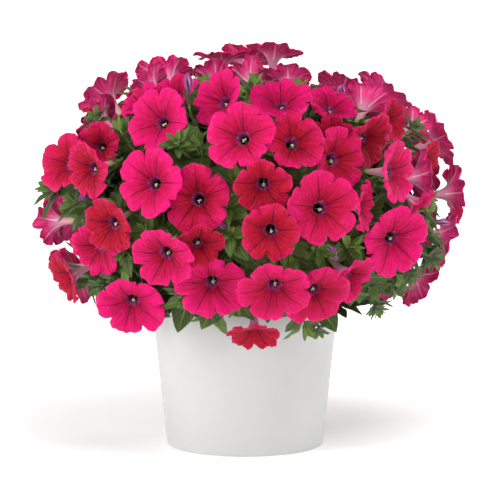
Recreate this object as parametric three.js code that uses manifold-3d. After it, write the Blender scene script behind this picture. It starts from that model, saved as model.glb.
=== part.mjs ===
// A spreading petunia in full bloom, standing in a plain white tapered pot.
// Millimetres, +Z up, origin at the centre of the pot's underside, front towards -Y.

import * as THREE from 'three';
import { mergeVertices } from 'three/addons/utils/BufferGeometryUtils.js';
import Module from 'manifold-3d';

const wasm = await Module();
wasm.setup();
const { Manifold, Mesh } = wasm;

// ---------------------------------------------------------------- driving dimensions

const gap = 0.3;                 // clearance between pieces that touch
const finest = 0.02;             // slivers below this size are smoothed away
const seeds = { lobes: 100, sprays: 500, shoots: 900, heart: 61 };   // where each stream of draws starts
const pot = {
  top: 100, foot: 81.5, height: 175,   // outer radii and height
  wall: 3, floor: 4, footRound: 2,
  sides: 32,
  lip: { outer: 0.6, inner: 0.6, drop: 1.2 },   // the softened edges of the rim
  drain: { count: 4, radius: 5, ring: 45 },
};
const soil = {
  below: 18,                     // its top lies this far below the rim
  hole: 4.4,                     // radius of the holes that the stems stand in
  holeDepth: 45,
  mound: { edge: 3, slope: 10, shoulder: 1, flat: 30, top: 3, middle: 2 },   // it heaps up a little
};
const stems = { radius: 3.6, ring: 38, count: 6, into: 12 };

// The outline of the bush, which the funnels of the blooms sit on: a flattened ball.
const bush = { radius: 201, middle: 252, rise: 147, drop: 152, shoulder: 2.25, skirt: 2.2 };

// The dense green body inside, as radius and height up from the pot's mouth and round to the crown.
const heart = [
  [106, 189], [122, 162], [136, 154], [148, 190], [149, 250], [138, 300], [100, 336], [50, 350],
];
const heartSides = 16;
const heartCrown = 354;
const heartRough = { radius: 0.09, height: 9 };   // how far its corners stray, as a share and in height

const petal = {
  thick: 0.8,
  throat: 12, throatRise: 0.45,  // radius of the throat and its height as a share of the funnel
  narrow: 30,                    // blooms of a smaller radius have a narrower throat too
  backLip: 0.5, backDrop: 0.6,   // how much the back of the funnel is wider and lower there
  well: 9,                       // depth of the throat's hollow
  fullFrom: 56,                  // blooms wider than this have a fuller rim
  tube: 36,                      // length of the tube, from the throat back to its stalk
  shoulderLift: 0.8, notchCurl: 2.2,
};
// Each lobe's length and notch as shares of the radius, and how far it tilts.
const lobe = { length: 0.95, lengthSway: 0.08, tilt: 3.4, notch: 0.11, notchSway: 0.06 };
const leaf = { thick: 0.8, fold: 0.28, droop: 0.2, plainBelow: 45 };   // shorter leaves have fewer sides
const bud = { waist: 0.4, foot: 0.7, tip: 0.5, sides: 5 };
// Two whorls of three leaves on each shoot: long leaves below, short narrow ones at the tip.
const shoot = {
  length: 62, radius: 1.8, backSize: 1.05, backSunk: 8,
  rise: 0.3, hang: -0.25, hangBelow: 200,   // shoots turn up, and those lower than this hang
  leastLeaf: 0.9, leafSway: 0.2, spreadSway: 14,
  whorls: [
    { below: 27, hub: 2.6, long: 40, wide: 0.46, spread: 74, stations: [[0.34, 1], [0.72, 0.68]] },
    { below: 6, hub: 2, long: 22, wide: 0.34, spread: 50, stations: [[0.42, 1]] },
  ],
};
// A spray's blooms meet at a fork above the heart, each a step further down, and stand just clear of it.
const stalk = {
  radius: 1.5, branch: 0.9, neck: 8, fork: 12, forkStep: 0.36, forkStart: -0.06, seat: 0.6, foot: 4,
};

// Blooms that show from the front: right, back and up of the throat, width across, turn to the right,
// raise, roll, funnel depth. Read off the photo by eye, then laid on the bush and moved clear of one
// another by scratch scripts, whose output these numbers are. See report.md.
const frontBlooms = [
  [-80, -148, 342, 68, -33, 20, -24, 11],
  [-2, -198, 329, 67, -18, 20, 0, 10],
  [45, -193, 324, 59, 20, 24, 8, 9],
  [-87, -180, 285, 68, -26, 10, -18, 11],
  [-45, -185, 270, 68, -11, 5, 3, 9],
  [17, -210, 286, 57, -3, -20, 4, 10],
  [24, -220, 243, 58, 0, -12, -9, 9],
  [71, -205, 263, 72, 17, 4, 10, 11],
  [84, -166, 307, 62, 38, 8, -4, 11],
  [116, -118, 325, 63, 48, -23, -5, 11],
  [144, -125, 227, 71, 26, -14, 10, 12],
  [-128, -154, 244, 58, -34, -18, 2, 10],
  [-75, -203, 220, 64, -20, -27, 5, 11],
  [-45, -198, 229, 48, 16, -24, -1, 9],
  [-111, -131, 166, 70, -8, -32, 18, 12],
  [-32, -166, 188, 72, -4, -26, 6, 11],
  [28, -205, 190, 72, 3, -34, 20, 13],
  [66, -176, 182, 69, 24, -32, -5, 12],
  [9, -143, 139, 53, 0, -58, 0, 9],
  [-174, -95, 298, 62, -42, 18, 10, 11],
  [-148, -144, 297, 57, -43, -9, -10, 10],
  [-143, -101, 316, 48, -23, 12, 0, 8],
  [-147, -8, 337, 56, -118, 30, 0, 10],
  [-95, -41, 373, 52, -122, 37, -5, 9],
  [-77, -5, 382, 51, -170, 50, 20, 9],
  [-30, 6, 375, 50, 175, 52, 0, 14],
  [4, -8, 378, 46, -142, 45, 0, 14],
  [45, 0, 375, 50, 172, 50, 0, 9],
  [35, -146, 358, 64, 0, 56, 0, 10],
  [-20, -144, 361, 60, -46, 24, 10, 11],
  [84, -91, 352, 56, 28, 55, 0, 9],
  [85, -122, 324, 48, 5, 19, 0, 8],
  [121, -10, 349, 56, 152, 45, 0, 16],
  [142, -79, 341, 46, 58, 6, 0, 9],
  [172, -12, 331, 43, 125, 20, 0, 9],
  [182, -15, 295, 53, 62, -12, 0, 9],
  [140, -138, 293, 64, 56, 1, 0, 12],
  [171, -48, 281, 55, 110, 4, 0, 10],
  [167, -99, 261, 42, 62, -40, 0, 9],
  [109, -159, 262, 50, 70, -6, 0, 9],
  [99, -149, 194, 54, 47, -31, -5, 12],
  [-143, -121, 218, 57, -36, -25, 0, 10],
  [-175, -57, 183, 55, -62, -22, 0, 11],
  [-193, -19, 234, 51, -122, -6, 0, 10],
  [-190, -23, 274, 45, -110, 8, 0, 9],
  [-102, -98, 357, 46, -60, 42, 0, 9],
  [-68, -86, 364, 52, -30, 48, 0, 10],
  [82, -5, 361, 37, 165, 55, 14, 8],
  [-95, 30, 385, 40, -158, 52, 0, 8],
];

// Sprays of three blooms round the back and sides, written by hand and then moved by the same search:
// bearing from the front, height of the middle, spin of the three, how far it stands out.
const sprays = [
  [178, 390, 32, 3],
  [128, 346, 40, 3],
  [173, 340, 99, 5],
  [-138, 344, 114, 9],
  [106, 284, 0, 4],
  [146, 284, 53, 0],
  [-172, 276, 57, 7],
  [-133, 283, 67, 5],
  [106, 203, 34, 0],
  [136, 192, 104, 7],
  [170, 202, 82, 4],
  [-156, 192, 5, 3],
  [-122, 204, 68, 8],
];
const sprayRing = 31;
const sprayStep = 6;             // each bloom of a spray stands out this much more than the last
const sprayBloom = { least: 63, most: 69, funnelLeast: 9, funnelMost: 12, sway: 6 };

// Front blooms that share one forked stalk, by their place in the list above.
const frontSprays = [[20, 21], [23, 24, 48], [25, 26], [32, 47], [35, 37], [43, 44], [45, 46]];

// Tips of the leafy shoots in front and on the crown: right, back, up, size.
// Most of the first 28 are the output of a scratch script. See report.md.
const frontShoots = [
  [-124, -105, 333, 1], [-45, -162, 324, 1.15], [-7, -185, 288, 1], [-1, -114, 368, 0.9],
  [58, -177, 286, 0.9], [-15, -188, 237, 1], [47, -180, 217, 1.15], [107, -152, 221, 0.9],
  [-174, -75, 261, 1.1], [-166, -27, 170, 1], [-121, -137, 206, 1.15], [-98, -162, 240, 1],
  [-60, -140, 163, 1.15], [-8, -155, 163, 1], [60, -132, 138, 1], [127, -101, 171, 1],
  [157, -61, 179, 1], [196, -12, 219, 1], [192, 12, 190, 0.9], [175, -7, 324, 0.9],
  [188, -50, 250, 0.8], [-115, -10, 368, 0.8], [99, -79, 361, 0.8], [24, -172, 313, 0.9],
  [37, -182, 221, 0.8], [-18, -188, 264, 0.8], [-130, -138, 260, 0.9], [-31, -136, 149, 1],
  [-62, 48, 372, 1], [-4, 44, 380, 1], [50, 52, 376, 1], [-42, -50, 378, 1],
  [10, -62, 378, 1], [56, -52, 374, 1], [104, 44, 358, 1],
];

// Bearing from the front and height of the shoots round the back and sides.
const backShoots = [
  [88, 256], [122, 240], [150, 234], [178, 238], [-146, 240], [-106, 252], [112, 322],
  [144, 320], [-160, 312], [-112, 312], [82, 162], [110, 156], [142, 150], [176, 152],
  [-142, 150], [-100, 160], [150, 372], [-150, 380],
];

// Furled and fading buds: right, back and up of the tip, turn, raise, length, radius.
const budPlaces = [
  [-56, -125, 389, -10, 80, 30, 3.6],
  [88, -186, 212, 58, -44, 36, 4.2],
  [-166, -92, 262, -60, -30, 22, 2.8],
  [-24, -196, 246, -40, 10, 16, 2.8],
  [-150, -66, 170, -50, -20, 16, 2.8],
  [212, -18, 232, 88, -6, 26, 3],
  [207, -8, 204, 84, -10, 14, 2.4],
  [-172, -60, 312, -70, 30, 16, 2.8],
  [98, -70, 376, 30, 66, 20, 3],
];

const colours = {
  pot: 0xf4f4f3, soil: 0x3b2a1e, green: 0x3f6e2d, magenta: 0xe8186c, crimson: 0xc4203f,
};
const crimsonFronts = [5, 6, 11, 13, 18, 33, 35, 42];   // the blooms of a redder, darker cast

// ---------------------------------------------------------------- small helpers

const radians = THREE.MathUtils.degToRad;
const point = (x, y, z) => new THREE.Vector3(x, y, z);

// A repeatable stream of draws between 0 and 1.
function drawer(seed) {
  const modulus = 2147483647;
  let state = seed * 7919 + 17;
  return () => {
    state = (state * 16807) % modulus;
    return state / modulus;
  };
}

function toSolid(geometry) {
  const bare = geometry.clone();
  for (const name of Object.keys(bare.attributes)) {
    if (name !== 'position') bare.deleteAttribute(name);
  }
  const merged = mergeVertices(bare, 1e-4);
  return new Manifold(new Mesh({
    numProp: 3,
    vertProperties: new Float32Array(merged.attributes.position.array),
    triVerts: new Uint32Array(merged.index.array),
  }));
}

function toGeometry(solid) {
  const mesh = solid.getMesh();
  const geometry = new THREE.BufferGeometry();
  geometry.setAttribute('position', new THREE.BufferAttribute(new Float32Array(mesh.vertProperties), 3));
  geometry.setIndex(new THREE.BufferAttribute(new Uint32Array(mesh.triVerts), 1));
  geometry.computeVertexNormals();
  return geometry;
}

function closedGeometry(points, faces) {
  const geometry = new THREE.BufferGeometry();
  geometry.setAttribute('position', new THREE.Float32BufferAttribute(points.flatMap((p) => p.toArray()), 3));
  geometry.setIndex(faces.flat());
  return geometry;
}

const largest = (solid) => solid.decompose().sort((a, b) => b.volume() - a.volume())[0];

function touches(one, other) {
  const [a, b] = [one.boundingBox(), other.boundingBox()];
  const apart = [0, 1, 2].some((k) => a.max[k] < b.min[k] || b.max[k] < a.min[k]);
  return !apart && one.intersect(other).volume() > 1e-5;
}

// A profile of radius and height, turned round the upright axis.
function turned(profile, sides) {
  const outline = profile.map(([radius, height]) => new THREE.Vector2(radius, height));
  return new THREE.LatheGeometry(outline, sides).rotateX(Math.PI / 2);
}

// A slim rod through a few points, with its own radius at each of them.
function taperedRod(route, radii, sides) {
  const points = [];
  let right = null;
  route.forEach((spot, k) => {
    const along = route[Math.min(k + 1, route.length - 1)].clone().sub(route[Math.max(k - 1, 0)]).normalize();
    right ??= axesOf(along)[0];
    right = right.clone().addScaledVector(along, -right.dot(along)).normalize();
    const top = along.clone().cross(right);
    for (let i = 0; i < sides; i += 1) {
      const angle = (2 * Math.PI * i) / sides;
      points.push(spot.clone()
        .addScaledVector(right, radii[k] * Math.cos(angle))
        .addScaledVector(top, radii[k] * Math.sin(angle)));
    }
  });
  const faces = [];
  const last = (route.length - 1) * sides;
  for (let k = 0; k < last; k += sides) {
    for (let i = 0; i < sides; i += 1) {
      const next = (i + 1) % sides;
      faces.push([k + i, k + next, k + sides + next], [k + i, k + sides + next, k + sides + i]);
    }
  }
  for (let i = 1; i + 1 < sides; i += 1) {
    faces.push([0, i + 1, i], [last, last + i, last + i + 1]);
  }
  return closedGeometry(points, faces);
}

// ---------------------------------------------------------------- the form of the bush

const heartPoint = point(0, 0, bush.middle);

function bushLevel(p) {
  const above = p.z >= bush.middle;
  const power = above ? bush.shoulder : bush.skirt;
  const reach = above ? bush.rise : bush.drop;
  const level = (Math.hypot(p.x, p.y) / bush.radius) ** power
    + (Math.abs(p.z - bush.middle) / reach) ** power;
  return level ** (1 / power);
}

// The point of the bush's outline that lies on the ray from its middle through p.
function onBush(p) {
  return p.clone().sub(heartPoint).divideScalar(bushLevel(p)).add(heartPoint);
}

function outward(p) {
  const above = p.z >= bush.middle;
  const power = above ? bush.shoulder : bush.skirt;
  const reach = above ? bush.rise : bush.drop;
  const around = Math.hypot(p.x, p.y);
  const side = (around / bush.radius) ** (power - 1) / bush.radius;
  const rise = ((Math.abs(p.z - bush.middle) / reach) ** (power - 1)) / reach;
  return point((side * p.x) / around, (side * p.y) / around, above ? rise : -rise).normalize();
}

function bearingPoint(bearing, height) {
  const above = height >= bush.middle;
  const power = above ? bush.shoulder : bush.skirt;
  const reach = above ? bush.rise : bush.drop;
  const radius = bush.radius * (1 - (Math.abs(height - bush.middle) / reach) ** power) ** (1 / power);
  const angle = radians(bearing);
  return point(radius * Math.sin(angle), -radius * Math.cos(angle), height);
}

function facing(turn, raise) {
  const [a, b] = [radians(turn), radians(raise)];
  return point(Math.sin(a) * Math.cos(b), -Math.cos(a) * Math.cos(b), Math.sin(b));
}

// Axes of a piece that looks along its face: to the viewer's right, to its top, and outwards.
function axesOf(face) {
  const up = Math.abs(face.z) < 0.97 ? point(0, 0, 1) : point(0, 1, 0);
  const right = up.cross(face).normalize();
  return [right, face.clone().cross(right), face];
}

// ---------------------------------------------------------------- blooms

function frontBloom([x, y, z, across, turn, raise, roll, funnel], index) {
  const full = across > petal.fullFrom;
  return { index, at: point(x, y, z), face: facing(turn, raise), across, roll, funnel, full };
}

function sprayBlooms([bearing, height, spin, out], index) {
  const middle = bearingPoint(bearing, height);
  const [right, top] = axesOf(outward(middle));
  return [0, 1, 2].map((k) => {
    const number = frontBlooms.length + 3 * index + k;
    const draw = drawer(seeds.sprays + number);
    const angle = radians(spin + 120 * k);
    const spot = middle.clone()
      .addScaledVector(right, sprayRing * Math.cos(angle))
      .addScaledVector(top, sprayRing * Math.sin(angle));
    const face = outward(onBush(spot));
    const at = onBush(spot).addScaledVector(face, out + sprayStep * k);
    face.addScaledVector(right, (draw() - 0.5) * Math.sin(radians(sprayBloom.sway)));
    face.addScaledVector(top, (draw() - 0.5) * Math.sin(radians(sprayBloom.sway))).normalize();
    return {
      index: number,
      at,
      face,
      across: sprayBloom.least + draw() * (sprayBloom.most - sprayBloom.least),
      roll: draw() * 72,
      funnel: sprayBloom.funnelLeast + draw() * (sprayBloom.funnelMost - sprayBloom.funnelLeast),
      full: false,
    };
  });
}

// How each of the five lobes differs: its length, how it tilts, and the notch after it.
function lobesOf(bloom) {
  const draw = drawer(seeds.lobes + bloom.index);
  return [0, 1, 2, 3, 4].map(() => ({
    length: lobe.length + lobe.lengthSway * draw(),
    tilt: lobe.tilt * (draw() - 0.5),
    notch: lobe.notch + lobe.notchSway * draw(),
  }));
}

// One trumpet: the same outline in front and behind, a hollow throat, a tapered tube and its stalk.
function bloomSolid(bloom, stalkRoute, grown = 0, alone = false) {
  const radius = bloom.across / 2;
  const half = petal.thick / 2 + grown;
  const lobes = lobesOf(bloom);
  const pitch = 360 / lobes.length;
  const notchPlace = pitch / 2;
  const places = bloom.full ? [0, notchPlace - 12, notchPlace, notchPlace + 12]
    : [notchPlace - 14, notchPlace, notchPlace + 14];
  const polar = (angle, r, z) => {
    const a = radians(angle + bloom.roll);
    return point(-Math.sin(a) * r, Math.cos(a) * r, z);
  };
  const rim = [];
  lobes.forEach((own, k) => {
    const next = lobes[(k + 1) % lobes.length];
    for (const place of places) {
      const owner = place > notchPlace ? next : own;
      let r = radius * owner.length;
      let z = bloom.funnel + owner.tilt;
      if (place === notchPlace) {
        r = radius * 0.5 * (own.length + next.length) * (1 - own.notch);
        z = bloom.funnel + 0.5 * (own.tilt + next.tilt) - petal.notchCurl;
      } else if (place !== 0) {
        z += petal.shoulderLift;
      }
      rim.push({ angle: pitch * k + place, r: r + grown, z });
    }
  });
  const throat = lobes.map((_, k) => pitch * k);
  const throatRadius = petal.throat * Math.min(1, radius / petal.narrow);
  const throatHeight = petal.throatRise * bloom.funnel;
  const points = [
    ...rim.map(({ angle, r, z }) => polar(angle, r, z + half)),
    ...throat.map((angle) => polar(angle, throatRadius - grown, throatHeight + half)),
    point(0, 0, grown - petal.well),
    ...rim.map(({ angle, r, z }) => polar(angle, r, z - half)),
    ...throat.map((angle) => polar(
      angle, throatRadius + grown + petal.backLip, throatHeight - half - petal.backDrop)),
    ...throat.map((angle) => polar(angle, stalk.radius + grown, -petal.tube)),
  ];
  const placed = new THREE.Matrix4().makeBasis(...axesOf(bloom.face)).setPosition(bloom.at);
  points.forEach((p) => p.applyMatrix4(placed));
  const slim = stalkRoute.length > 1 || alone ? stalk.radius : stalk.branch;
  for (const spot of stalkRoute) {
    const from = points.slice(-throat.length).reduce((sum, p) => sum.add(p), point(0, 0, 0))
      .divideScalar(throat.length);
    const [right, top] = stalkAxes(bloom.face, from.sub(spot).normalize());
    points.push(...throat.map((angle) => {
      const a = radians(angle + bloom.roll);
      return spot.clone()
        .addScaledVector(right, -Math.sin(a) * (slim + grown))
        .addScaledVector(top, Math.cos(a) * (slim + grown));
    }));
  }
  const n = rim.length;
  const m = throat.length;
  const [ring, bottom, back, backRing] = [n, n + m, n + m + 1, 2 * n + m + 1];
  const tip = backRing + (1 + stalkRoute.length) * m;
  const faces = [];
  const sheet = (rimStart, ringStart, flip) => {
    const add = (a, b, c) => faces.push(flip ? [a, c, b] : [a, b, c]);
    for (let i = 0; i < n; i += 1) {
      const from = rim[i].angle;
      const to = i + 1 < n ? rim[i + 1].angle : rim[0].angle + 360;
      const apex = Math.round((from + to) / 2 / pitch) % m;
      add(ringStart + apex, rimStart + i, rimStart + ((i + 1) % n));
    }
    for (let k = 0; k < m; k += 1) {
      const notch = k * places.length + places.indexOf(notchPlace);
      add(ringStart + k, rimStart + notch, ringStart + ((k + 1) % m));
    }
  };
  sheet(0, ring, false);
  sheet(back, backRing, true);
  for (let k = 0; k < m; k += 1) {
    const next = (k + 1) % m;
    faces.push([bottom, ring + k, ring + next]);
    for (let from = backRing; from < tip; from += m) {
      faces.push([from + k, from + m + k, from + m + next], [from + k, from + m + next, from + next]);
    }
  }
  for (let k = 1; k + 1 < m; k += 1) faces.push([tip, tip + k + 1, tip + k]);
  for (let i = 0; i < n; i += 1) {
    const next = (i + 1) % n;
    faces.push([i, back + i, back + next], [i, back + next, next]);
  }
  return toSolid(closedGeometry(points, faces));
}

// The bloom's own right and top, turned to stand square to a stalk that bends away from its face.
function stalkAxes(face, along) {
  const bend = new THREE.Quaternion().setFromUnitVectors(face, along);
  return axesOf(face).slice(0, 2).map((axis) => axis.applyQuaternion(bend));
}

// The point of the green heart's surface on the ray from its middle through p, and beyond it by some way.
function onHeart(p, beyond) {
  const way = p.clone().sub(heartPoint).normalize();
  const ray = new THREE.Ray(heartPoint, way);
  const hits = heartFaces.map((corners) => ray.intersectTriangle(...corners, false, point(0, 0, 0)));
  const reach = Math.max(...hits.filter(Boolean).map((hit) => hit.distanceTo(heartPoint)));
  return heartPoint.clone().addScaledVector(way, reach + beyond);
}

// Blooms on one stalk: each tube runs on into a slim stalk, and these meet above the green heart.
function spraySolid(members, grown = 0) {
  const necks = members.map(({ at, face }) => at.clone().addScaledVector(face, -petal.tube));
  const mean = necks.reduce((sum, neck) => sum.add(neck), point(0, 0, 0)).divideScalar(necks.length);
  const fork = onHeart(mean, stalk.fork);
  const foot = onHeart(mean, stalk.seat);
  const trumpets = members.map((bloom, i) => {
    if (members.length === 1) return bloomSolid(bloom, [foot], grown, true);
    const branch = fork.clone().lerp(foot, stalk.forkStep * i + stalk.forkStart);
    return bloomSolid(bloom, i === 0 ? [fork, foot] : [branch], grown);
  });
  const solid = trumpets.length > 1 ? Manifold.union(trumpets) : trumpets[0];
  const clear = touches(solid, grownHeart) ? largest(solid.subtract(grownHeart)) : solid;
  return clear.simplify(finest);
}

// ---------------------------------------------------------------- green parts

// One leaf grown out of the side of a stem: its points and faces, from the four corners of its root.
// The corners are low left, low right, high left, high right, seen from outside with the tip up.
function leafParts(corners, along, sky, length, wide, stations) {
  const foot = corners.reduce((sum, c) => sum.add(c), point(0, 0, 0)).divideScalar(4);
  const side = sky.clone().cross(along).normalize();
  const top = along.clone().cross(side);
  const half = (length * wide) / 2;
  const spot = (t, across, lift) => foot.clone()
    .addScaledVector(along, length * t)
    .addScaledVector(side, across)
    .addScaledVector(top, lift - length * leaf.droop * t * t);
  const layer = (offset) => [
    ...stations.flatMap(([t, share]) => [
      spot(t, -half * share, offset),
      spot(t, 0, offset - half * leaf.fold * share),
      spot(t, half * share, offset),
    ]),
    spot(1, 0, offset),
  ];
  const points = [...corners, ...layer(leaf.thick / 2), ...layer(-leaf.thick / 2)];
  const count = 3 * stations.length + 1;
  const [lowL, lowR, highL, highR] = [0, 1, 2, 3];
  const up = (k, place) => 4 + 3 * k + place;
  const down = (k, place) => up(k, place) + count;
  const faces = [
    [highR, highL, up(0, 1)], [highL, up(0, 0), up(0, 1)], [up(0, 1), up(0, 2), highR],
    [lowL, lowR, down(0, 1)], [lowR, down(0, 2), down(0, 1)], [lowL, down(0, 1), down(0, 0)],
    [highL, lowL, down(0, 0)], [highL, down(0, 0), up(0, 0)],
    [lowR, highR, up(0, 2)], [lowR, up(0, 2), down(0, 2)],
  ];
  for (let k = 0; k + 1 < stations.length; k += 1) {
    faces.push(
      [up(k, 1), up(k, 0), up(k + 1, 0)], [up(k, 1), up(k + 1, 0), up(k + 1, 1)],
      [up(k, 2), up(k, 1), up(k + 1, 1)], [up(k, 2), up(k + 1, 1), up(k + 1, 2)],
      [down(k, 0), down(k, 1), down(k + 1, 1)], [down(k, 0), down(k + 1, 1), down(k + 1, 0)],
      [down(k, 1), down(k, 2), down(k + 1, 2)], [down(k, 1), down(k + 1, 2), down(k + 1, 1)],
      [up(k, 0), down(k, 0), down(k + 1, 0)], [up(k, 0), down(k + 1, 0), up(k + 1, 0)],
      [down(k, 2), up(k, 2), up(k + 1, 2)], [down(k, 2), up(k + 1, 2), down(k + 1, 2)],
    );
  }
  const end = stations.length - 1;
  const [tip, under] = [up(end + 1, 0), down(end + 1, 0)];
  faces.push(
    [up(end, 1), up(end, 0), tip], [up(end, 2), up(end, 1), tip],
    [down(end, 0), down(end, 1), under], [down(end, 1), down(end, 2), under],
    [up(end, 0), down(end, 0), under], [up(end, 0), under, tip],
    [down(end, 2), up(end, 2), tip], [down(end, 2), tip, under],
  );
  return { points, faces };
}

function shootAxis(tip) {
  const turn = tip.z > shoot.hangBelow ? shoot.rise : shoot.hang;
  return outward(tip).add(point(0, 0, turn)).normalize();
}

// A leafy shoot as one closed skin. A leaf that would pass through another piece doesn't grow.
function shootSolid(tip, size, seed, others) {
  const draw = drawer(seeds.shoots + seed);
  const axis = shootAxis(tip);
  const [right, top] = axesOf(axis);
  const sides = 3;
  const spin = draw() * 120;
  const ringAt = (below, turnBy) => [0, 1, 2].map((i) => {
    const angle = radians(spin + turnBy + 120 * i);
    return tip.clone().addScaledVector(axis, -below)
      .addScaledVector(right, shoot.radius * Math.cos(angle))
      .addScaledVector(top, shoot.radius * Math.sin(angle));
  });
  const points = ringAt(shoot.length, 0);
  const faces = [[0, 2, 1]];
  const band = (low, high) => {
    for (let i = 0; i < sides; i += 1) {
      const next = (i + 1) % sides;
      faces.push([low + i, low + next, high + next], [low + i, high + next, high + i]);
    }
  };
  let last = 0;
  shoot.whorls.forEach((whorl, w) => {
    const low = points.length;
    const high = low + sides;
    points.push(...ringAt(size * whorl.below + whorl.hub, 60 * w), ...ringAt(size * whorl.below, 60 * w));
    band(last, low);
    for (let i = 0; i < sides; i += 1) {
      const next = (i + 1) % sides;
      const quad = [low + i, low + next, high + i, high + next];
      const around = radians(spin + 60 * w + 120 * i + 60);
      const spread = radians(whorl.spread + shoot.spreadSway * (draw() - 0.5));
      const away = right.clone().multiplyScalar(Math.cos(around)).addScaledVector(top, Math.sin(around));
      const along = axis.clone().multiplyScalar(Math.cos(spread)).addScaledVector(away, Math.sin(spread));
      const length = size * whorl.long * (shoot.leastLeaf + shoot.leafSway * draw());
      const stations = length < leaf.plainBelow ? shoot.whorls[1].stations : whorl.stations;
      const grown = leafParts(quad.map((q) => points[q]), along, axis, length, whorl.wide, stations);
      const shut = [[0, 2, 3], [0, 3, 1]];
      const alone = toSolid(closedGeometry(grown.points, [...grown.faces, ...shut]));
      if (others.some((other) => touches(alone, other))) {
        faces.push([quad[0], quad[1], quad[3]], [quad[0], quad[3], quad[2]]);
        continue;
      }
      const first = points.length;
      points.push(...grown.points.slice(4));
      faces.push(...grown.faces.map((face) => face.map((q) => (q < 4 ? quad[q] : first + q - 4))));
    }
    last = high;
  });
  const apex = points.length;
  points.push(tip);
  for (let i = 0; i < sides; i += 1) faces.push([last + i, last + ((i + 1) % sides), apex]);
  return toSolid(closedGeometry(points, faces));
}

function budSolid([x, y, z, turn, raise, length, radius]) {
  const face = facing(turn, raise);
  const tip = point(x, y, z);
  const foot = tip.clone().addScaledVector(face, -length);
  const waist = tip.clone().addScaledVector(face, -length * bud.waist);
  const neck = foot.clone().addScaledVector(face, -stalk.neck);
  const radii = [stalk.radius, stalk.radius, radius * bud.foot, radius, radius * bud.tip];
  return toSolid(taperedRod([onHeart(neck, -stalk.foot), neck, foot, waist, tip], radii, bud.sides));
}

// ---------------------------------------------------------------- pot, soil and what stands in it

function potSolid(grown = 0) {
  const { top, foot, height, wall, floor, footRound, lip, sides } = pot;
  const slope = (top - foot) / height;
  const inside = (z) => foot + slope * z - wall;
  const shell = grown > 0
    ? [[0, -grown], [foot + grown, -grown], [top + grown, height + grown], [0, height + grown]]
    : [
      [0, 0], [foot - footRound, 0], [foot + slope * footRound, footRound],
      [top - slope * lip.drop, height - lip.drop], [top - lip.outer, height],
      [inside(height) + lip.inner, height], [inside(height - lip.drop), height - lip.drop],
      [inside(floor), floor], [0, floor],
    ];
  let solid = toSolid(turned(shell, sides));
  if (grown > 0) return solid;
  for (let i = 0; i < pot.drain.count; i += 1) {
    const angle = (2 * Math.PI * (i + 0.5)) / pot.drain.count;
    const hole = new THREE.CylinderGeometry(pot.drain.radius, pot.drain.radius, floor * 3, 12)
      .rotateX(Math.PI / 2)
      .translate(pot.drain.ring * Math.cos(angle), pot.drain.ring * Math.sin(angle), floor / 2);
    solid = solid.subtract(toSolid(hole));
  }
  return solid;
}

const soilTop = pot.height - soil.below;
const stemFeet = [point(0, 0, 0)];
for (let i = 0; i < stems.count; i += 1) {
  const angle = (2 * Math.PI * (i + 0.25)) / stems.count;
  stemFeet.push(point(stems.ring * Math.cos(angle), stems.ring * Math.sin(angle), 0));
}

function upright(foot, from, to, radius, sides) {
  return new THREE.CylinderGeometry(radius, radius, to - from, sides)
    .rotateX(Math.PI / 2)
    .translate(foot.x, foot.y, (from + to) / 2);
}

function soilSolid() {
  const slope = (pot.top - pot.foot) / pot.height;
  const inside = (z) => pot.foot + slope * z - pot.wall - 2 * gap;
  const low = pot.floor + gap;
  const { edge, slope: inwards, shoulder, flat, top, middle } = soil.mound;
  let solid = toSolid(turned([[0, low], [inside(low), low], [inside(soilTop - edge), soilTop - edge],
    [inside(soilTop) - inwards, soilTop + shoulder], [flat, soilTop + top],
    [0, soilTop + middle]], pot.sides));
  for (const foot of stemFeet) {
    const hole = upright(foot, soilTop - soil.holeDepth, pot.height + 20, soil.hole, 6);
    solid = solid.subtract(toSolid(hole));
  }
  return solid;
}

// Straight stems up into the green heart: they stand on the bottom of their holes.
function stemSolids() {
  return stemFeet.map((foot) => toSolid(
    upright(foot, soilTop - soil.holeDepth + gap, heart[0][1] + stems.into, stems.radius, 6)));
}

// The heart is a rough, lumpy ball: rings of corners that stray a little from its outline.
function heartGeometry(grown = 0) {
  const draw = drawer(seeds.heart);
  const points = [point(0, 0, heart[0][1] - grown)];
  heart.forEach(([radius, height], k) => {
    const [before, after] = [heart[Math.max(k - 1, 0)], heart[Math.min(k + 1, heart.length - 1)]];
    const [dr, dz] = [after[0] - before[0], after[1] - before[1]];
    const share = (1.4 * grown) / Math.hypot(dr, dz);
    for (let i = 0; i < heartSides; i += 1) {
      const angle = (2 * Math.PI * i) / heartSides;
      const reach = radius * (1 + heartRough.radius * (draw() - 0.5)) + dz * share;
      const level = height + heartRough.height * (draw() - 0.5) - dr * share;
      points.push(point(reach * Math.cos(angle), reach * Math.sin(angle), level));
    }
  });
  points.push(point(0, 0, heartCrown + grown));
  const faces = [];
  const [low, high] = [1, points.length - 1 - heartSides];
  for (let i = 0; i < heartSides; i += 1) {
    const next = (i + 1) % heartSides;
    faces.push([0, low + next, low + i], [points.length - 1, high + i, high + next]);
    for (let k = low; k < high; k += heartSides) {
      const up = k + heartSides;
      faces.push([k + i, k + next, up + next], [k + i, up + next, up + i]);
    }
  }
  const corners = faces.map((face) => face.map((q) => points[q]));
  return { geometry: closedGeometry(points, faces), corners };
}

// ---------------------------------------------------------------- the plant

const blooms = [...frontBlooms.map(frontBloom), ...sprays.flatMap(sprayBlooms)];
const shared = frontSprays.flat();
const bunches = [
  ...frontBlooms.map((_, i) => [i]).filter(([i]) => !shared.includes(i)),
  ...frontSprays,
  ...sprays.map((_, k) => [0, 1, 2].map((i) => frontBlooms.length + 3 * k + i)),
];
const heartFaces = heartGeometry().corners;
const grownHeart = toSolid(heartGeometry(gap).geometry);
const spraySolids = bunches.map((bunch) => spraySolid(bunch.map((i) => blooms[i])));

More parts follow.
